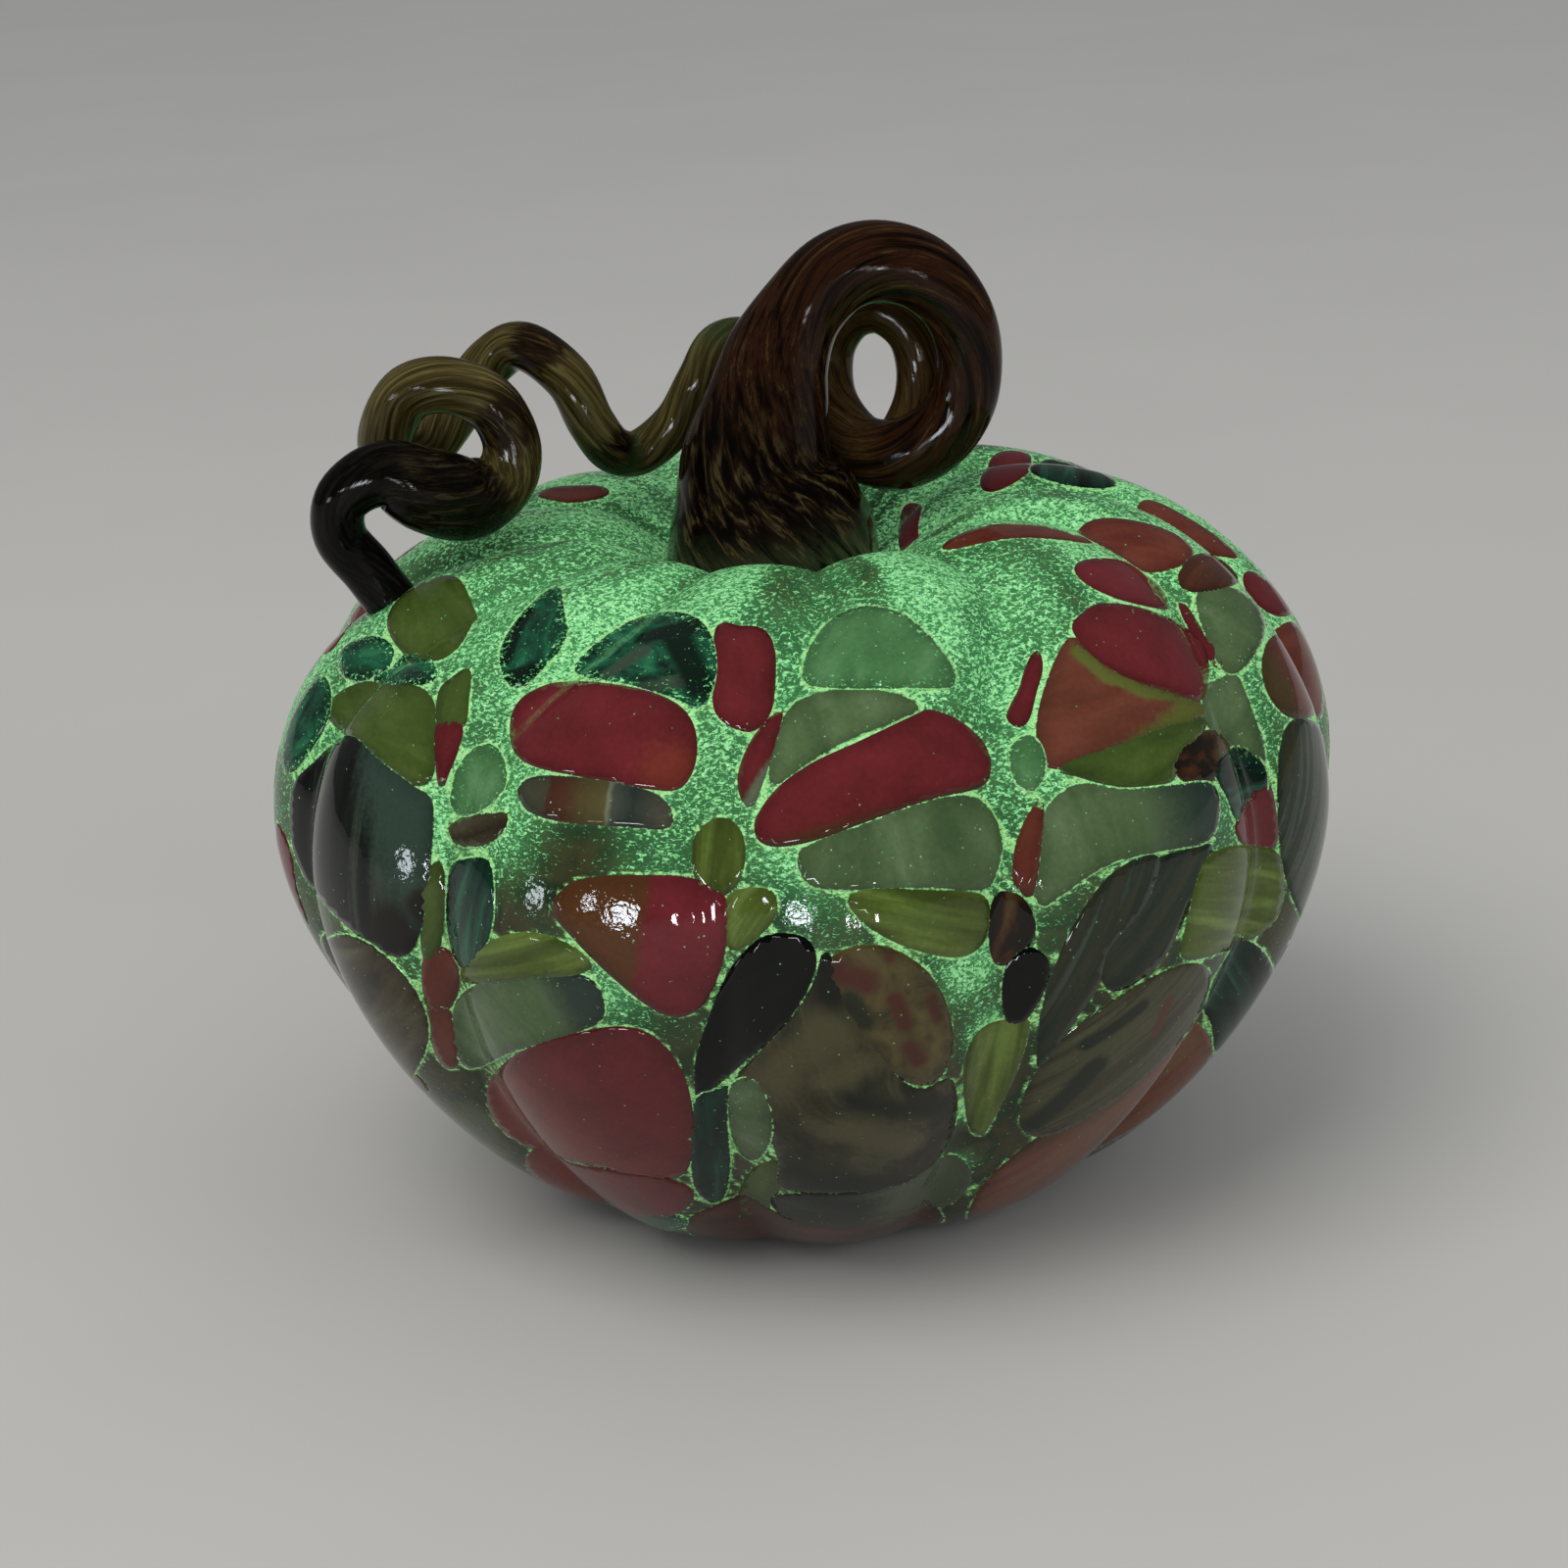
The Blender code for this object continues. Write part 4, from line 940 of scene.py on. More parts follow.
# How each kind of chip looks. Its main colours (stops) lie over a noise field: how far that is
# stretched along and across the chip, its scale per mm, its detail and its distortion. A second
# colour (tint) lies where the chip's tint mask is, and a deep one where its deep mask is. With bands
# the stops run along the tint mask instead
deepRed = [(0.30, (0.098, 0.0135, 0.0145)), (0.70, (0.146, 0.0182, 0.0225))]
chipLooks = {
    "crimson": {
        "field": (0.5, 0.5, 0.30, 3, 0.3), "tint": (0.158, 0.028, 0.019), "rim": 0.0, "stops": deepRed},
    "crimsonPale": {
        "field": (0.5, 0.5, 0.30, 3, 0.3), "tint": (0.120, 0.150, 0.090), "rim": 0.0, "stops": deepRed},
    "crimsonDusty": {
        "field": (0.5, 0.5, 0.30, 3, 0.3), "tint": (0.080, 0.030, 0.012), "bubbles": 0.03, "rim": 0.0,
        "stops": deepRed},
    "crimsonBrown": {
        "field": (0.5, 0.5, 0.30, 3, 0.3), "tint": (0.088, 0.034, 0.012), "bubbles": 0.10, "rim": 0.0,
        "wave": 0.8,
        "stops": [(0.30, (0.116, 0.0152, 0.0180)), (0.70, (0.166, 0.0205, 0.0270))]},
    "rust": {
        "field": (0.4, 0.9, 0.30, 3, 0.4), "tint": (0.062, 0.040, 0.015), "bubbles": 0.006,
        "stops": [(0.30, (0.095, 0.020, 0.014)), (0.70, (0.145, 0.038, 0.022))]},
    "rustOlive": {
        "field": (0.3, 0.9, 0.30, 3, 0.5), "tint": (0.105, 0.120, 0.024), "bubbles": 0.006,
        "stops": [(0.30, (0.105, 0.032, 0.018)), (0.70, (0.150, 0.046, 0.028))]},
    "rustBrown": {
        "field": (0.3, 0.9, 0.40, 3, 0.5), "tint": (0.06, 0.035, 0.014), "bubbles": 0.006,
        "stops": [(0.30, (0.040, 0.018, 0.010)), (0.70, (0.092, 0.030, 0.016))]},
    "salmon": {
        "field": (0.12, 0.9, 0.35, 3, 0.5), "tint": (0.034, 0.036, 0.016), "bubbles": 0.006,
        "stops": [(0.32, (0.110, 0.030, 0.020)), (0.55, (0.165, 0.062, 0.034)),
                  (0.72, (0.135, 0.080, 0.036))]},
    "olive": {
        "field": (0.25, 0.8, 0.40, 3, 0.5), "tint": (0.10, 0.14, 0.03), "bubbles": 0.03,
        "stops": [(0.30, (0.040, 0.068, 0.013)), (0.55, (0.060, 0.098, 0.019)),
                  (0.75, (0.084, 0.118, 0.029))]},
    "oliveBright": {
        "field": (0.10, 0.9, 0.50, 3, 0.4), "tint": (0.028, 0.052, 0.020), "bubbles": 0.04,
        "stops": [(0.32, (0.050, 0.072, 0.013)), (0.50, (0.082, 0.122, 0.021)),
                  (0.66, (0.148, 0.215, 0.044))]},
    "tealMarble": {
        "field": (0.35, 0.8, 0.30, 4, 1.6), "tint": (0.036, 0.062, 0.040), "deep": (0.004, 0.012, 0.007),
        "bubbles": 0.05, "rim": 0.10, "dust": 0.44,
        "stops": [(0.36, (0.005, 0.018, 0.010)), (0.48, (0.010, 0.052, 0.028)),
                  (0.57, (0.012, 0.100, 0.048)), (0.68, (0.032, 0.160, 0.078))]},
    "tealDeep": {
        "field": (0.12, 0.9, 0.40, 3, 0.5), "tint": (0.02, 0.13, 0.08), "bubbles": 0.02, "rim": 0.30,
        "dust": 0.10,
        "stops": [(0.36, (0.002, 0.007, 0.005)), (0.52, (0.006, 0.034, 0.020)),
                  (0.68, (0.016, 0.105, 0.055))]},
    "greyStreak": {
        "field": (0.05, 1.0, 0.50, 4, 0.35), "tint": (0.050, 0.056, 0.026), "bubbles": 0.02,
        "stops": [(0.30, (0.008, 0.018, 0.010)), (0.42, (0.038, 0.038, 0.019)),
                  (0.52, (0.018, 0.032, 0.020)), (0.60, (0.064, 0.080, 0.056)),
                  (0.66, (0.032, 0.042, 0.026)), (0.74, (0.130, 0.165, 0.115))]},
    "reed": {
        "field": (0.05, 0.8, 0.34, 4, 0.5), "tint": (0.050, 0.056, 0.026), "bubbles": 0.02, "rim": 0.0,
        "stops": [(0.34, (0.008, 0.014, 0.008)), (0.44, (0.018, 0.030, 0.018)),
                  (0.52, (0.034, 0.034, 0.018)), (0.60, (0.018, 0.028, 0.017)),
                  (0.68, (0.048, 0.062, 0.042)), (0.76, (0.024, 0.036, 0.024))]},
    "lens": {
        "field": (0.05, 0.8, 0.34, 4, 0.3), "tint": (0.012, 0.018, 0.010), "deep": (0.075, 0.028, 0.014),
        "bubbles": 0.02,
        "stops": [(0.32, (0.028, 0.026, 0.011)), (0.44, (0.046, 0.042, 0.018)),
                  (0.52, (0.066, 0.068, 0.032)), (0.58, (0.040, 0.032, 0.014)),
                  (0.68, (0.082, 0.092, 0.048))]},
    "baseGlass": {
        "field": (0.2, 0.9, 0.30, 3, 0.6), "tint": (0.072, 0.092, 0.052), "bubbles": 0.02,
        "stops": [(0.36, (0.010, 0.014, 0.008)), (0.64, (0.022, 0.030, 0.018))]},
    "mint": {
        "field": (0.6, 0.25, 0.28, 4, 0.5), "tint": (0.026, 0.042, 0.032), "bubbles": 0.14, "rim": 0.24,
        "dust": 0.15,
        "stops": [(0.32, (0.054, 0.096, 0.038)), (0.50, (0.079, 0.130, 0.053)),
                  (0.70, (0.122, 0.186, 0.090))]},
    "mintHaze": {
        "field": (0.6, 0.25, 0.30, 4, 0.6), "tint": (0.05, 0.16, 0.09), "bubbles": 0.16, "rim": 0.18,
        "dust": 0.38,
        "stops": [(0.32, (0.044, 0.122, 0.044)), (0.52, (0.066, 0.180, 0.064)),
                  (0.72, (0.108, 0.250, 0.104))]},
    "bandedAmber": {
        "field": (0.5, 0.5, 0.50, 3, 0.8), "bands": True, "bubbles": 0.06, "dust": 0.10,
        "stops": [(0.0, (0.050, 0.058, 0.036)), (0.19, (0.052, 0.050, 0.030)),
                  (0.22, (0.058, 0.022, 0.014)), (0.34, (0.068, 0.030, 0.016)),
                  (0.44, (0.074, 0.056, 0.022)), (0.59, (0.086, 0.078, 0.030)),
                  (0.61, (0.170, 0.180, 0.115)), (0.64, (0.058, 0.068, 0.052)),
                  (0.76, (0.026, 0.036, 0.030)), (1.0, (0.084, 0.078, 0.056))]},
    "spottedOchre": {
        "field": (0.55, 0.8, 0.30, 4, 1.2), "tint": (0.070, 0.022, 0.014), "deep": (0.020, 0.022, 0.010),
        "bubbles": 0.04, "soft": 0.36, "ragged": 1.7,
        "stops": [(0.34, (0.042, 0.034, 0.014)), (0.50, (0.078, 0.062, 0.022)),
                  (0.68, (0.112, 0.090, 0.032))]},
    "swirl": {
        "field": (0.35, 0.7, 0.13, 4, 2.2), "tint": (0.078, 0.070, 0.031), "deep": (0.008, 0.010, 0.006),
        "bubbles": 0.03, "soft": 0.55,
        "stops": [(0.32, (0.012, 0.014, 0.007)), (0.45, (0.030, 0.027, 0.011)),
                  (0.53, (0.062, 0.056, 0.024)), (0.60, (0.030, 0.034, 0.016)),
                  (0.72, (0.018, 0.026, 0.014))]},
    "amberSmoke": {
        "field": (0.15, 0.8, 0.32, 3, 0.8), "tint": (0.04, 0.03, 0.014), "bubbles": 0.03, "rim": 0.28,
        "dust": 0.10,
        "stops": [(0.32, (0.018, 0.013, 0.007)), (0.52, (0.050, 0.040, 0.020)),
                  (0.70, (0.082, 0.078, 0.042))]},
    "amberDark": {
        "field": (0.4, 0.8, 0.28, 3, 1.0), "tint": (0.05, 0.03, 0.014), "bubbles": 0.02,
        "stops": [(0.40, (0.012, 0.008, 0.005)), (0.52, (0.056, 0.020, 0.008)),
                  (0.66, (0.062, 0.050, 0.016))]},
    "smoke": {
        "field": (0.4, 0.8, 0.30, 2, 0.6), "tint": (0.01, 0.01, 0.008),
        "stops": [(0.40, (0.0008, 0.0007, 0.0006)), (0.80, (0.003, 0.003, 0.0025))]},
    "smokeGlass": {
        "field": (0.9, 0.06, 0.24, 4, 0.6), "tint": (0.032, 0.056, 0.042), "deep": (0.012, 0.009, 0.007),
        "bubbles": 0.01, "rim": 0.10, "wave": 0.8,
        "stops": [(0.40, (0.0025, 0.0028, 0.0022)), (0.56, (0.008, 0.010, 0.007)),
                  (0.64, (0.034, 0.042, 0.030)), (0.68, (0.007, 0.009, 0.007)),
                  (0.76, (0.020, 0.014, 0.009))]},
}

# What a look has unless it says otherwise: share of cells with a bubble, width of the rim's line and
# powder over the rest, softness and raggedness of the masks' edges, and extra waves where it is tinted
chipLook = {"bubbles": 0.0, "rim": 0.05, "dust": 0.0, "soft": 0.28, "ragged": 1.0, "wave": 0.0}
inlay = {
    "fineScale": 1.4, "ripple": 0.07, "raggedness": (0.6, 0.35),
    "shade": (0.80, 0.40), "rimShade": (0.72, 0.28), "rimReach": (-0.2, 2.4),
    "bubbleScale": 1.5, "bubbleSize": (0.08, 0.22), "bubble": (0.42, 0.58, 0.38),
    "wobbleScale": 1500, "lineFrom": 0.12, "lineTo": 0.32, "linePowder": 0.95, "lineTint": 0.4,
    "lineUnder": 0.5, "dustReach": (0.6, 3.2), "clear": 0.02, "matt": 0.10,
}
chipPaints = {}


def chipPaint(name):
    if name in chipPaints:
        return chipPaints[name]
    look = {**chipLook, **chipLooks[name]}
    paint = glassPaint(name + "Glass")
    flow, coords = paint.value("flow", "Vector"), paint.coords()
    rim, tint = paint.value("rim"), paint.value("tint")
    along, across, scale, detail, distortion = look["field"]
    field = paint.noise(paint.stretch(flow, (along, across, 1)), scale, detail, 0.55, distortion)
    fine = paint.noise(flow, inlay["fineScale"], 3.0, 0.6)
    ripple, (coarse, small) = inlay["ripple"], inlay["raggedness"]
    ragged = ((field - 0.5) * coarse + (fine - 0.5) * small) * look["ragged"]
    masked = 0.5 - look["soft"], 0.5 + look["soft"]
    if look.get("bands"):
        colour = paint.ramp(tint + (field - 0.5) * ripple, look["stops"])
    else:
        colour = paint.ramp(field + (fine - 0.5) * ripple, look["stops"])
        colour = paint.mix((tint + ragged).above(*masked), colour, look["tint"])
    if "deep" in look:
        colour = paint.mix((paint.value("deep") + ragged).above(*masked), colour, look["deep"])
    (least, more), (rimLeast, rimMore) = inlay["shade"], inlay["rimShade"]
    shade = (least + fine * more) * (rimLeast + rim.above(*inlay["rimReach"]) * rimMore)
    colour = paint.mix(1.0, colour, paint.node("CombineColor", {}, {0: shade, 1: shade, 2: shade}),
                       "MULTIPLY")
    if look["bubbles"]:
        chosen = paint.split(paint.cells(flow, inlay["bubbleScale"], "Color"))
        spot = 1 - paint.cells(flow, inlay["bubbleScale"]).above(*inlay["bubbleSize"])
        bubble = chosen.above(1 - look["bubbles"], 1.0) * spot
        colour = paint.mix(bubble, colour, inlay["bubble"])
    wobble = paint.noise(coords, inlay["wobbleScale"], 2.0, 0.6)
    line = 1 - (rim + wobble * 0.5).above(look["rim"] + inlay["lineFrom"], look["rim"] + inlay["lineTo"])
    near = 1 - (rim + fine).above(*inlay["dustReach"])
    dust = look["dust"]
    cover, powdered, _ = powderOn(paint, coords, line * inlay["linePowder"] + near * dust + dust * 0.4)
    powdered = paint.mix(line * inlay["lineTint"], powdered, glow["line"])
    colour = paint.mix(line * inlay["lineUnder"], colour, glow["low"])
    chipPaints[name] = paint.finish(
        Base_Color=paint.mix(cover, colour, powdered), Emission_Color=paint.shine(cover, powdered),
        Emission_Strength=1.0, Roughness=inlay["clear"] + cover * inlay["matt"],
        Normal=waves(paint, coords, tint * look["wave"]))
    return chipPaints[name]


addChips()


# Where the powder lies thicker or thinner than the height alone gives: x, y, radius and amount
powderSpots = [
    (600, 870, 62, -0.55), (505, 945, 45, -0.50), (800, 935, 45, -0.35), (560, 925, 40, -0.25),
    (700, 1060, 40, -0.05), (1130, 950, 80, -0.25), (1190, 850, 60, -0.15), (1330, 850, 60, -0.6),
    (640, 1020, 40, 0.15),
    (990, 990, 34, 0.55), (1003, 1050, 26, 0.6), (985, 1130, 24, 0.65), (975, 1185, 22, 0.6),
    (445, 850, 14, 0.5), (440, 1000, 14, 0.4), (1030, 640, 50, -0.25), (620, 610, 40, 0.1),
    (1110, 600, 40, 0.05), (1030, 720, 40, 0.1), (540, 560, 60, -0.1),
]


# How thickly it lies: least and more between two heights in mm, and its limits. The distance from a
# chip's rim is only worked out up to edgeReach mm
cover = {"heights": (30, 74), "least": 0.16, "more": 0.74, "limits": (0.02, 1.05), "edgeReach": 8.0}


# The skin and the cavity inside it, joined at the neck and closed at the base
def bodyMesh():
    outlineR, outlineZ = rows[:, 0] - outward * pumpkin["wall"], rows[:, 1] - upward * pumpkin["wall"]
    keep = (outlineR > pumpkin["neck"]) & (np.arange(len(rows)) % pumpkin["cavityStep"] == 0)
    cavity = [(pumpkin["neck"], outlineZ[0])] + list(zip(outlineR[keep], outlineZ[keep]))
    floor = pumpkin["kick"] + pumpkin["wall"]
    cavity += [(0.5 * pumpkin["neck"], floor)]
    angle = np.radians(azimuths + rows[0, 3])
    inside = [np.stack((r * np.sin(angle), -r * np.cos(angle), np.full(width, z)), -1)
              for r, z in cavity]
    points = np.vstack((skinPoints, np.vstack(inside), [(0, 0, pumpkin["kick"]), (0, 0, floor)]))
    count = len(rows) * width
    faces = gridFaces(len(rows), width)
    faces += [(k, (k + 1) % width, count + (k + 1) % width, count + k) for k in range(width)]
    faces += gridFaces(len(inside), width, count, True)
    last, end = (len(rows) - 1) * width, count + (len(inside) - 1) * width
    base, middle = len(points) - 2, len(points) - 1
    faces += [(last + k, base, last + (k + 1) % width) for k in range(width)]
    faces += [(end + (k + 1) % width, middle, end + k) for k in range(width)]
    return faceOutward(newMesh("body", points, faces))


# Streaks of thicker and thinner powder that run down the ribs and turn with their swirl
def ribStreaks(seed=5, across=3, down=16, strength=0.34):
    draw = np.random.default_rng(seed)
    coarse = draw.normal(size=(len(rows) // down + 2, width // across))
    coarse = 0.5 * coarse + 0.25 * (np.roll(coarse, 1, 1) + np.roll(coarse, -1, 1))
    places = np.arange(len(rows)) / down
    first = places.astype(int)
    share = (places - first)[:, None]
    bands = coarse[first] * (1 - share) + coarse[first + 1] * share
    columns = np.arange(width) / across
    left = columns.astype(int) % bands.shape[1]
    share = columns - columns.astype(int)
    field = bands[:, left] * (1 - share) + bands[:, (left + 1) % bands.shape[1]] * share
    return (1 + strength * field).ravel()


def addBody():
    mesh = bodyMesh()
    tree = KDTree(len(chipEdges))
    for index, point in enumerate(chipEdges):
        tree.insert(Vector(point), index)
    tree.balance()
    outside = len(skinPoints)
    edge = np.full(len(mesh.vertices), cover["edgeReach"])
    edge[:outside] = [min(cover["edgeReach"], tree.find(Vector(p))[2] / mm) for p in skinPoints]
    low, high = cover["heights"]
    share = np.clip((skinPoints[:, 2] / mm - low) / (high - low), 0, 1)
    thick = cover["least"] + cover["more"] * share * share * (3 - 2 * share)
    for x, y, radius, amount in powderSpots:
        away = np.linalg.norm(skinPoints - np.array(underPixel(x, y)), axis=1) / (radius * pixel)
        thick += amount * np.exp(-away * away)
    density = np.zeros(len(mesh.vertices))
    density[:outside] = np.clip(thick * ribStreaks(), *cover["limits"])
    setValues(mesh, "edge", edge)
    setValues(mesh, "powder", density)
    mesh.materials.append(bodyPaint())
    newPiece("powderedBody", mesh, ["body"])
    print("body:", len(mesh.polygons), "faces")


addBody()


stem = {
    "sides": 56, "steps": 9, "foot": (13.4, -15.0), "flutes": 9, "fluteDepth": 0.035, "fluteReach": 1.3,
    "groove": 0.004, "grooves": 9, "twist": 1.3, "end": "rounded",
    # x, y, height over the crest and radius
    "path": [
        (-2.2, 0.0, -6.0, 13.6), (-2.7, 0.0, 0.0, 12.3), (-3.2, 0.0, 6.0, 10.0), (-1.7, 0.0, 12.5, 8.2),
        (0.2, 0.0, 19.0, 6.8), (3.6, 0.0, 24.8, 5.5), (8.2, 0.0, 29.0, 5.3), (13.6, 0.0, 30.2, 5.2),
        (19.0, 0.0, 28.3, 4.9), (23.0, 0.2, 23.6, 4.5), (24.5, 0.6, 17.6, 4.2), (23.4, 1.2, 11.4, 4.3),
        (19.6, 2.0, 6.6, 4.6), (14.2, 3.6, 4.4, 4.6), (9.4, 7.0, 5.6, 4.2), (6.4, 11.0, 10.6, 3.8),
        (6.8, 12.4, 16.8, 3.5), (9.8, 10.6, 21.4, 3.3), (13.8, 8.8, 22.4, 3.2), (17.2, 7.8, 19.6, 3.1),
        (18.3, 7.3, 15.2, 3.0), (17.6, 6.6, 10.6, 2.9), (15.0, 5.6, 6.6, 2.6), (11.8, 5.2, 5.2, 1.8)],
    # the streaks' colours, and the points of the path between which one part's give way to the next's
    "footStops": [(0.38, (0.004, 0.0030, 0.0016)), (0.50, (0.026, 0.032, 0.0140)),
                  (0.57, (0.050, 0.064, 0.0340)), (0.66, (0.150, 0.155, 0.0820))],
    "columnFrom": (0.9, 1.9),
    "columnStops": [(0.44, (0.0014, 0.0009, 0.0006)), (0.53, (0.0085, 0.0040, 0.0018)),
                    (0.58, (0.024, 0.0170, 0.0066)), (0.64, (0.062, 0.0470, 0.0190)),
                    (0.70, (0.010, 0.0060, 0.0030))],
    "upperFrom": (3.0, 5.0),
    "upperStops": [(0.36, (0.0024, 0.0012, 0.0008)), (0.46, (0.010, 0.0042, 0.0020)),
                   (0.53, (0.028, 0.0095, 0.0038)), (0.57, (0.012, 0.0050, 0.0022)),
                   (0.63, (0.060, 0.033, 0.0115)), (0.66, (0.015, 0.0062, 0.0024))],
    "innerFrom": (13.6, 15.2),
    "innerStops": [(0.34, (0.014, 0.0068, 0.0026)), (0.46, (0.046, 0.0245, 0.0082)),
                   (0.54, (0.084, 0.0500, 0.0170)), (0.60, (0.036, 0.0165, 0.0058)),
                   (0.67, (0.112, 0.0740, 0.0290))],
}

tendril = {
    "sides": 40, "steps": 8, "groove": 0.004, "grooves": 9, "twist": 2.2, "end": "square",
    # azimuth, distance out from the crest ring, rise over the skin beneath and radius
    "path": [
        (194, -11.0, -3.4, 4.2), (193, -11.0, 3.6, 3.4), (190, -12.0, 11.2, 3.1), (187, -13.5, 18.6, 3.0),
        (194, -15.5, 24.5, 3.0), (213, -17.2, 25.9, 3.0), (224, -16.2, 21.1, 3.0), (231, -13.2, 13.6, 3.0),
        (240, -9.4, 7.9, 3.0), (249.5, -7.4, 8.1, 3.1), (256, -5.8, 11.7, 3.1), (256, -3.2, 16.9, 3.2),
        (251, 3.4, 20.4, 3.2), (250, 8.6, 19.1, 3.3), (254, 12.6, 15.0, 3.5), (261, 16.4, 11.9, 3.6),
        (267, 19.6, 14.7, 3.6), (270.5, 18.8, 18.4, 3.6), (273, 15.6, 21.3, 3.6), (275, 10.6, 20.4, 3.6),
        (276, 5.6, 16.8, 3.6), (276, 3.4, 11.3, 3.7), (276.5, 4.8, 6.9, 4.2), (279.5, 9.6, 6.2, 5.3),
        (283, 15.0, 10.3, 5.4), (284, 20.4, 15.8, 4.2), (283, 25.4, 16.7, 3.5), (281.5, 26.2, 12.3, 3.4),
        (281, 23.2, 4.9, 3.4), (281, 20.4, -1.8, 3.4)],
    # dark bands wound round the rod: where they lie along the path's points, their reach and weight
    "bands": [(4.8, 0.7, 0.5), (9.2, 0.75, 1.0), (11.6, 0.65, 0.9), (16.4, 0.6, 0.4), (20.5, 1.1, 0.8)],
    "clearStops": [(0.34, (0.018, 0.0132, 0.0040)), (0.46, (0.040, 0.0305, 0.0092)),
                   (0.54, (0.070, 0.0560, 0.0185)), (0.66, (0.118, 0.0980, 0.0385))],
    "darkStops": [(0.40, (0.0045, 0.0026, 0.0012)), (0.56, (0.016, 0.0092, 0.0038)),
                  (0.68, (0.062, 0.0440, 0.0150))],
    "green": (0.022, 0.058, 0.022), "greenScale": 0.11, "greenTo": (8.5, 10.5),
    "mottledFrom": (21.8, 22.6),
    "mottledStops": [(0.42, (0.0024, 0.0017, 0.0011)), (0.56, (0.0095, 0.0062, 0.0030)),
                     (0.64, (0.032, 0.0245, 0.0100)), (0.72, (0.008, 0.0044, 0.0020))],
    "blackFrom": (24.3, 25.5),
    "blackStops": [(0.45, (0.0016, 0.0014, 0.0012)), (0.70, (0.010, 0.0090, 0.0072))],
}

# Both rods: they mirror less than the body, their streaks stand up a little, and they stop clear of
# the skin. An end is drawn in by rings of these scales and stands out by a share of the radius
rod = {
    "specular": 0.12, "bump": 0.15, "bumpDepth": 0.2 * mm, "clear": 0.02, "matt": 0.08,
    "overSkin": 0.05 * mm, "above": 0.2,
    "ends": {"rounded": ((0.92, 0.70, 0.36), 0.9), "square": ((0.90,), 0.16)},
}


# Places, radii and marks (how many path points have passed) of a curve through the chosen points
def openCurve(points, steps):
    points = np.array(points, float)
    padded = np.vstack((points[:1], points, points[-1:]))
    curve = [(*between(*padded[index:index + 4], step / steps), index + step / steps)
             for index in range(len(points) - 1) for step in range(steps)]
    return np.array(curve + [(*points[-1], len(points) - 1)])


def skinHeight(radius):
    inner = rows[:np.argmax(rows[:, 0]) + 1]
    return np.interp(radius, inner[:, 0], inner[:, 1])


# A rod swept along a curve, with lengthwise grooves that twist, and a rounded or a square end
def sweptRod(name, curve, look, shape):
    sides = look["sides"]
    centres, radii, marks = curve[:, :3], curve[:, 3], curve[:, 4]
    tangents = np.gradient(centres, axis=0)
    tangents /= np.linalg.norm(tangents, axis=1)[:, None]
    side = Vector((0, 1, 0))
    travelled = np.r_[0, np.cumsum(np.linalg.norm(np.diff(centres, axis=0), axis=1))]
    angles = 2 * math.pi * np.arange(sides) / sides
    points, flow, mark = [], [], []
    for index in range(len(centres)):
        tangent = Vector(tangents[index])
        side = (side - tangent * side.dot(tangent)).normalized()
        other = tangent.cross(side)
        turn = angles + look["twist"] * 2 * math.pi * travelled[index] / travelled[-1]
        grow = shape(angles, turn, marks[index])
        points.append(centres[index] + radii[index] * grow[:, None] * (
            np.cos(angles)[:, None] * np.array(side) + np.sin(angles)[:, None] * np.array(other)))
        around = np.stack((np.cos(turn), np.sin(turn)), -1) * radii[index] / mm
        flow.append(np.c_[around, np.full(sides, travelled[index] / mm)])
        mark.append(np.full(sides, marks[index]))
    last = len(centres) - 1
    scales, bulge = rod["ends"][look["end"]]
    reach = radii[last] * bulge
    for scale in scales:
        rise = reach * math.sin(math.acos(scale)) if look["end"] == "rounded" else reach
        points.append(points[last] + (scale - 1) * (points[last] - centres[last]) + tangents[last] * rise)
        flow.append(flow[last])
        mark.append(mark[last])
    top = (len(points) - 1) * sides
    cloud = np.vstack(points + [[centres[0], centres[last] + tangents[last] * reach]])
    faces = gridFaces(len(points), sides)
    start, end = len(cloud) - 2, len(cloud) - 1
    faces += [(start, k, (k + 1) % sides) for k in range(sides)]
    faces += [(end, top + (k + 1) % sides, top + k) for k in range(sides)]
    for k, point in enumerate(cloud):
        place = skinTree.ray_cast(Vector((point[0], point[1], rod["above"])), Vector((0, 0, -1)))[0]
        if place is not None and point[2] < place.z + rod["overSkin"]:
            cloud[k, 2] = place.z + rod["overSkin"]
    mesh = faceOutward(newMesh(name, cloud, faces))
    setValues(mesh, "flow", np.vstack(flow + [[(0, 0, 0), (0, 0, travelled[-1] / mm)]]))
    setValues(mesh, "mark", np.concatenate(mark + [[0, marks[last]]]))
    return mesh


def rodPaint(name):
    paint = glassPaint(name, Specular_IOR_Level=rod["specular"])
    return paint, paint.value("flow", "Vector"), paint.value("mark")


# Streaks along the rod, the longer the smaller the stretch
def streaksOn(paint, flow, stretch, scale, detail, roughness, distortion):
    return paint.noise(paint.stretch(flow, (1.0, 1.0, stretch)), scale, detail, roughness, distortion)


def finishRod(paint, colour, streaks):
    return paint.finish(Base_Color=colour, Roughness=rod["clear"] + streaks * rod["matt"],
                        Normal=paint.bump(streaks, rod["bump"], rod["bumpDepth"]))


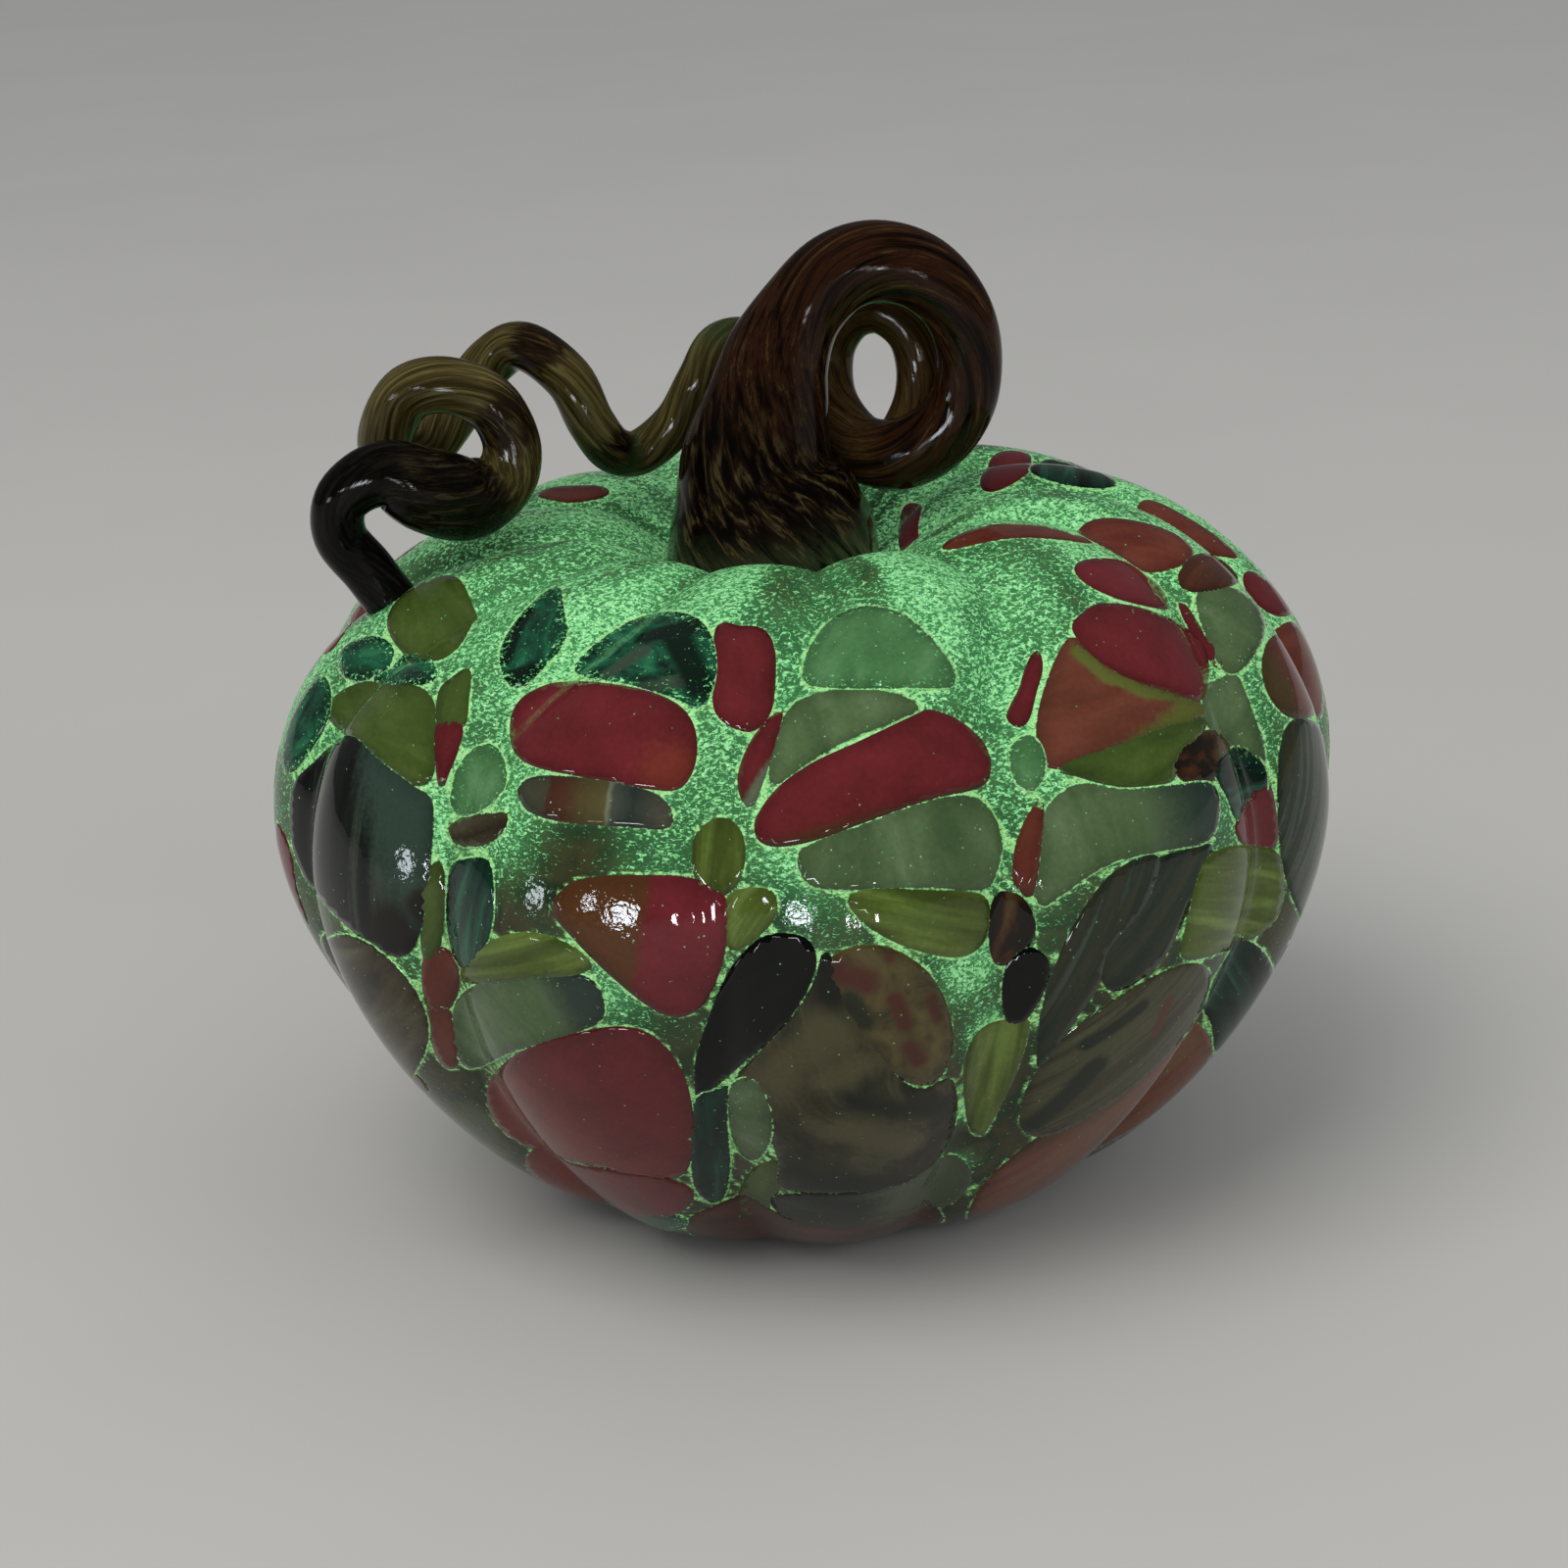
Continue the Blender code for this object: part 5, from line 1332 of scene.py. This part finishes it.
def stemPaint():
    paint, flow, mark = rodPaint("stemGlass")
    long = streaksOn(paint, flow, 0.045, 1.15, 5.0, 0.68, 0.3)
    short = streaksOn(paint, flow, 0.17, 0.75, 5.0, 0.62, 0.5)
    wander = (short - 0.5) * 3.0
    colour = paint.mix((mark + wander).above(*stem["columnFrom"]), paint.ramp(short, stem["footStops"]),
                       paint.ramp(short, stem["columnStops"]))
    colour = paint.mix((mark + wander).above(*stem["upperFrom"]), colour,
                       paint.ramp(long, stem["upperStops"]))
    colour = paint.mix((mark + wander * 0.6).above(*stem["innerFrom"]), colour,
                       paint.ramp(long, stem["innerStops"]))
    return finishRod(paint, colour, long)


def tendrilPaint():
    paint, flow, mark = rodPaint("tendrilGlass")
    fine = streaksOn(paint, flow, 0.05, 1.9, 4.0, 0.64, 0.3)
    rough = streaksOn(paint, flow, 0.13, 1.5, 4.0, 0.62, 0.4)
    banded = (paint.value("band") + (rough - 0.5) * 1.7).above(0.35, 0.65)
    colour = paint.mix(banded, paint.ramp(fine, tendril["clearStops"]),
                       paint.ramp(rough, tendril["darkStops"]))
    green = paint.noise(flow, tendril["greenScale"], 1.0).above(0.50, 0.66)
    green = green * (1 - mark.above(*tendril["greenTo"]))
    colour = paint.mix(green * 0.5, colour, tendril["green"])
    colour = paint.mix((mark + (rough - 0.5) * 1.5).above(*tendril["mottledFrom"]), colour,
                       paint.ramp(rough, tendril["mottledStops"]))
    colour = paint.mix((mark + (rough - 0.5)).above(*tendril["blackFrom"]), colour,
                       paint.ramp(rough, tendril["blackStops"]))
    return finishRod(paint, colour, fine)


# The stem, with flutes round its foot that run out into the fine grooves
def addStem():
    crest = pumpkin["crest"] / mm
    foot = (stem["path"][0][0], 0.0, stem["foot"][1], stem["foot"][0])
    points = [(x, y, crest + z, r) for x, y, z, r in [foot, *stem["path"]]]
    curve = openCurve(np.array(points) * mm, stem["steps"])

    def shape(angles, turn, mark):
        fade = math.exp(-mark / stem["fluteReach"])
        return (1 + stem["fluteDepth"] * fade * np.cos(stem["flutes"] * angles)
                + stem["groove"] * np.cos(stem["grooves"] * turn) * (1 - fade))

    mesh = sweptRod("stem", curve, stem, shape)
    mesh.materials.append(stemPaint())
    newPiece("curledStem", mesh, ["stem"])


def addTendril():
    points = []
    for azimuth, out, rise, radius in tendril["path"]:
        away = pumpkin["crestRadius"] + out * mm
        angle = math.radians(azimuth)
        points.append((away * math.sin(angle), -away * math.cos(angle), skinHeight(away) + rise * mm,
                       radius * mm))
    curve = openCurve(points, tendril["steps"])

    def shape(angles, turn, mark):
        return 1 + tendril["groove"] * np.cos(tendril["grooves"] * turn)

    mesh = sweptRod("tendril", curve, tendril, shape)
    marks = np.empty(len(mesh.vertices))
    mesh.attributes["mark"].data.foreach_get("value", marks)
    band = sum(weight * np.exp(-((marks - place) / reach) ** 2 * 1.5)
               for place, reach, weight in tendril["bands"])
    setValues(mesh, "band", np.clip(band, 0, 1))
    mesh.materials.append(tendrilPaint())
    newPiece("curledTendril", mesh, ["tendril"])


addStem()
addTendril()
print("stem and tendril drawn")


studio = {
    "floorSize": 6.0, "floorParts": 24, "floorDrop": 0.02 * mm, "floorColour": (0.52, 0.51, 0.49),
    "toneScale": 9, "tone": 0.98, "worldColour": (0.96, 0.98, 1.0), "worldStrength": 0.55,
    "dimRoom": 0.10,  # the world's strength where it is only reflected
    # name, azimuth, elevation and distance from the body, size across and up, power, colour, and
    # whether it is only there to be reflected
    "lamps": [
        ("softbox", -40, 56, 1.35, 0.90, 0.90, 9.0, (1.0, 0.99, 0.97), False),
        ("fill", 50, 22, 1.25, 0.60, 0.60, 2.4, (0.96, 0.98, 1.0), False),
        ("barLeft", 5.5, -2.5, 0.95, 0.036, 0.105, 0.80, (1.0, 1.0, 1.0), True),
        ("barRight", 14.5, -3.0, 0.95, 0.026, 0.100, 0.55, (1.0, 1.0, 1.0), True),
        ("paneWide", -20, 1.2, 0.95, 0.19, 0.095, 2.60, (0.86, 0.93, 1.0), True),
        ("paneHigh", -36, 5.5, 0.95, 0.12, 0.035, 0.55, (0.86, 0.93, 1.0), True),
        ("paneFar", -60, 3.0, 0.95, 0.10, 0.110, 0.75, (0.86, 0.93, 1.0), True),
    ],
}


def addFloor():
    shape, parts = bmesh.new(), studio["floorParts"]
    bmesh.ops.create_grid(shape, x_segments=parts, y_segments=parts, size=studio["floorSize"] / 2)
    mesh = bpy.data.meshes.new("floor")
    shape.to_mesh(mesh)
    shape.free()
    floor = bpy.data.objects.new("floor", mesh)
    floor.location.z = -studio["floorDrop"]
    bpy.context.scene.collection.objects.link(floor)
    paint = Paint(bpy.data.materials.new("paleFloor"), Roughness=1.0, Specular_IOR_Level=0.0)
    tone = paint.noise(paint.coords(), studio["toneScale"], 4.0, 0.55)
    colour = studio["floorColour"]
    darker = tuple(studio["tone"] * c for c in colour)
    mesh.materials.append(paint.finish(Base_Color=paint.mix(tone.above(0.35, 0.65), darker, colour)))


def addLamps():
    for name, azimuth, elevation, distance, across, up, power, colour, reflected in studio["lamps"]:
        data = bpy.data.lights.new(name, "AREA")
        data.shape, data.size, data.size_y = "RECTANGLE", across, up
        data.energy, data.color = power, colour
        lamp = bpy.data.objects.new(name, data)
        lamp.visible_glossy, lamp.visible_diffuse = reflected, not reflected
        bpy.context.scene.collection.objects.link(lamp)
        turn, rise = math.radians(azimuth), math.radians(elevation)
        level = math.cos(rise)
        away = Vector((math.sin(turn) * level, -math.cos(turn) * level, math.sin(rise)))
        place = Matrix.Translation(Vector((0, 0, pumpkin["girth"])) + away * distance)
        lamp.matrix_world = place @ away.to_track_quat("Z", "Y").to_matrix().to_4x4()


def addWorld():
    paint = Paint(bpy.data.worlds.new("studio"), "Background", Color=(*studio["worldColour"], 1))
    reflected = paint.node("LightPath", out="Is Glossy Ray")
    strength = studio["worldStrength"]
    bpy.context.scene.world = paint.finish(Strength=strength - reflected * (strength - studio["dimRoom"]))


addFloor()
addLamps()
addWorld()
bpy.context.scene.view_settings.view_transform = "Standard"
print("floor, lamps and world added")
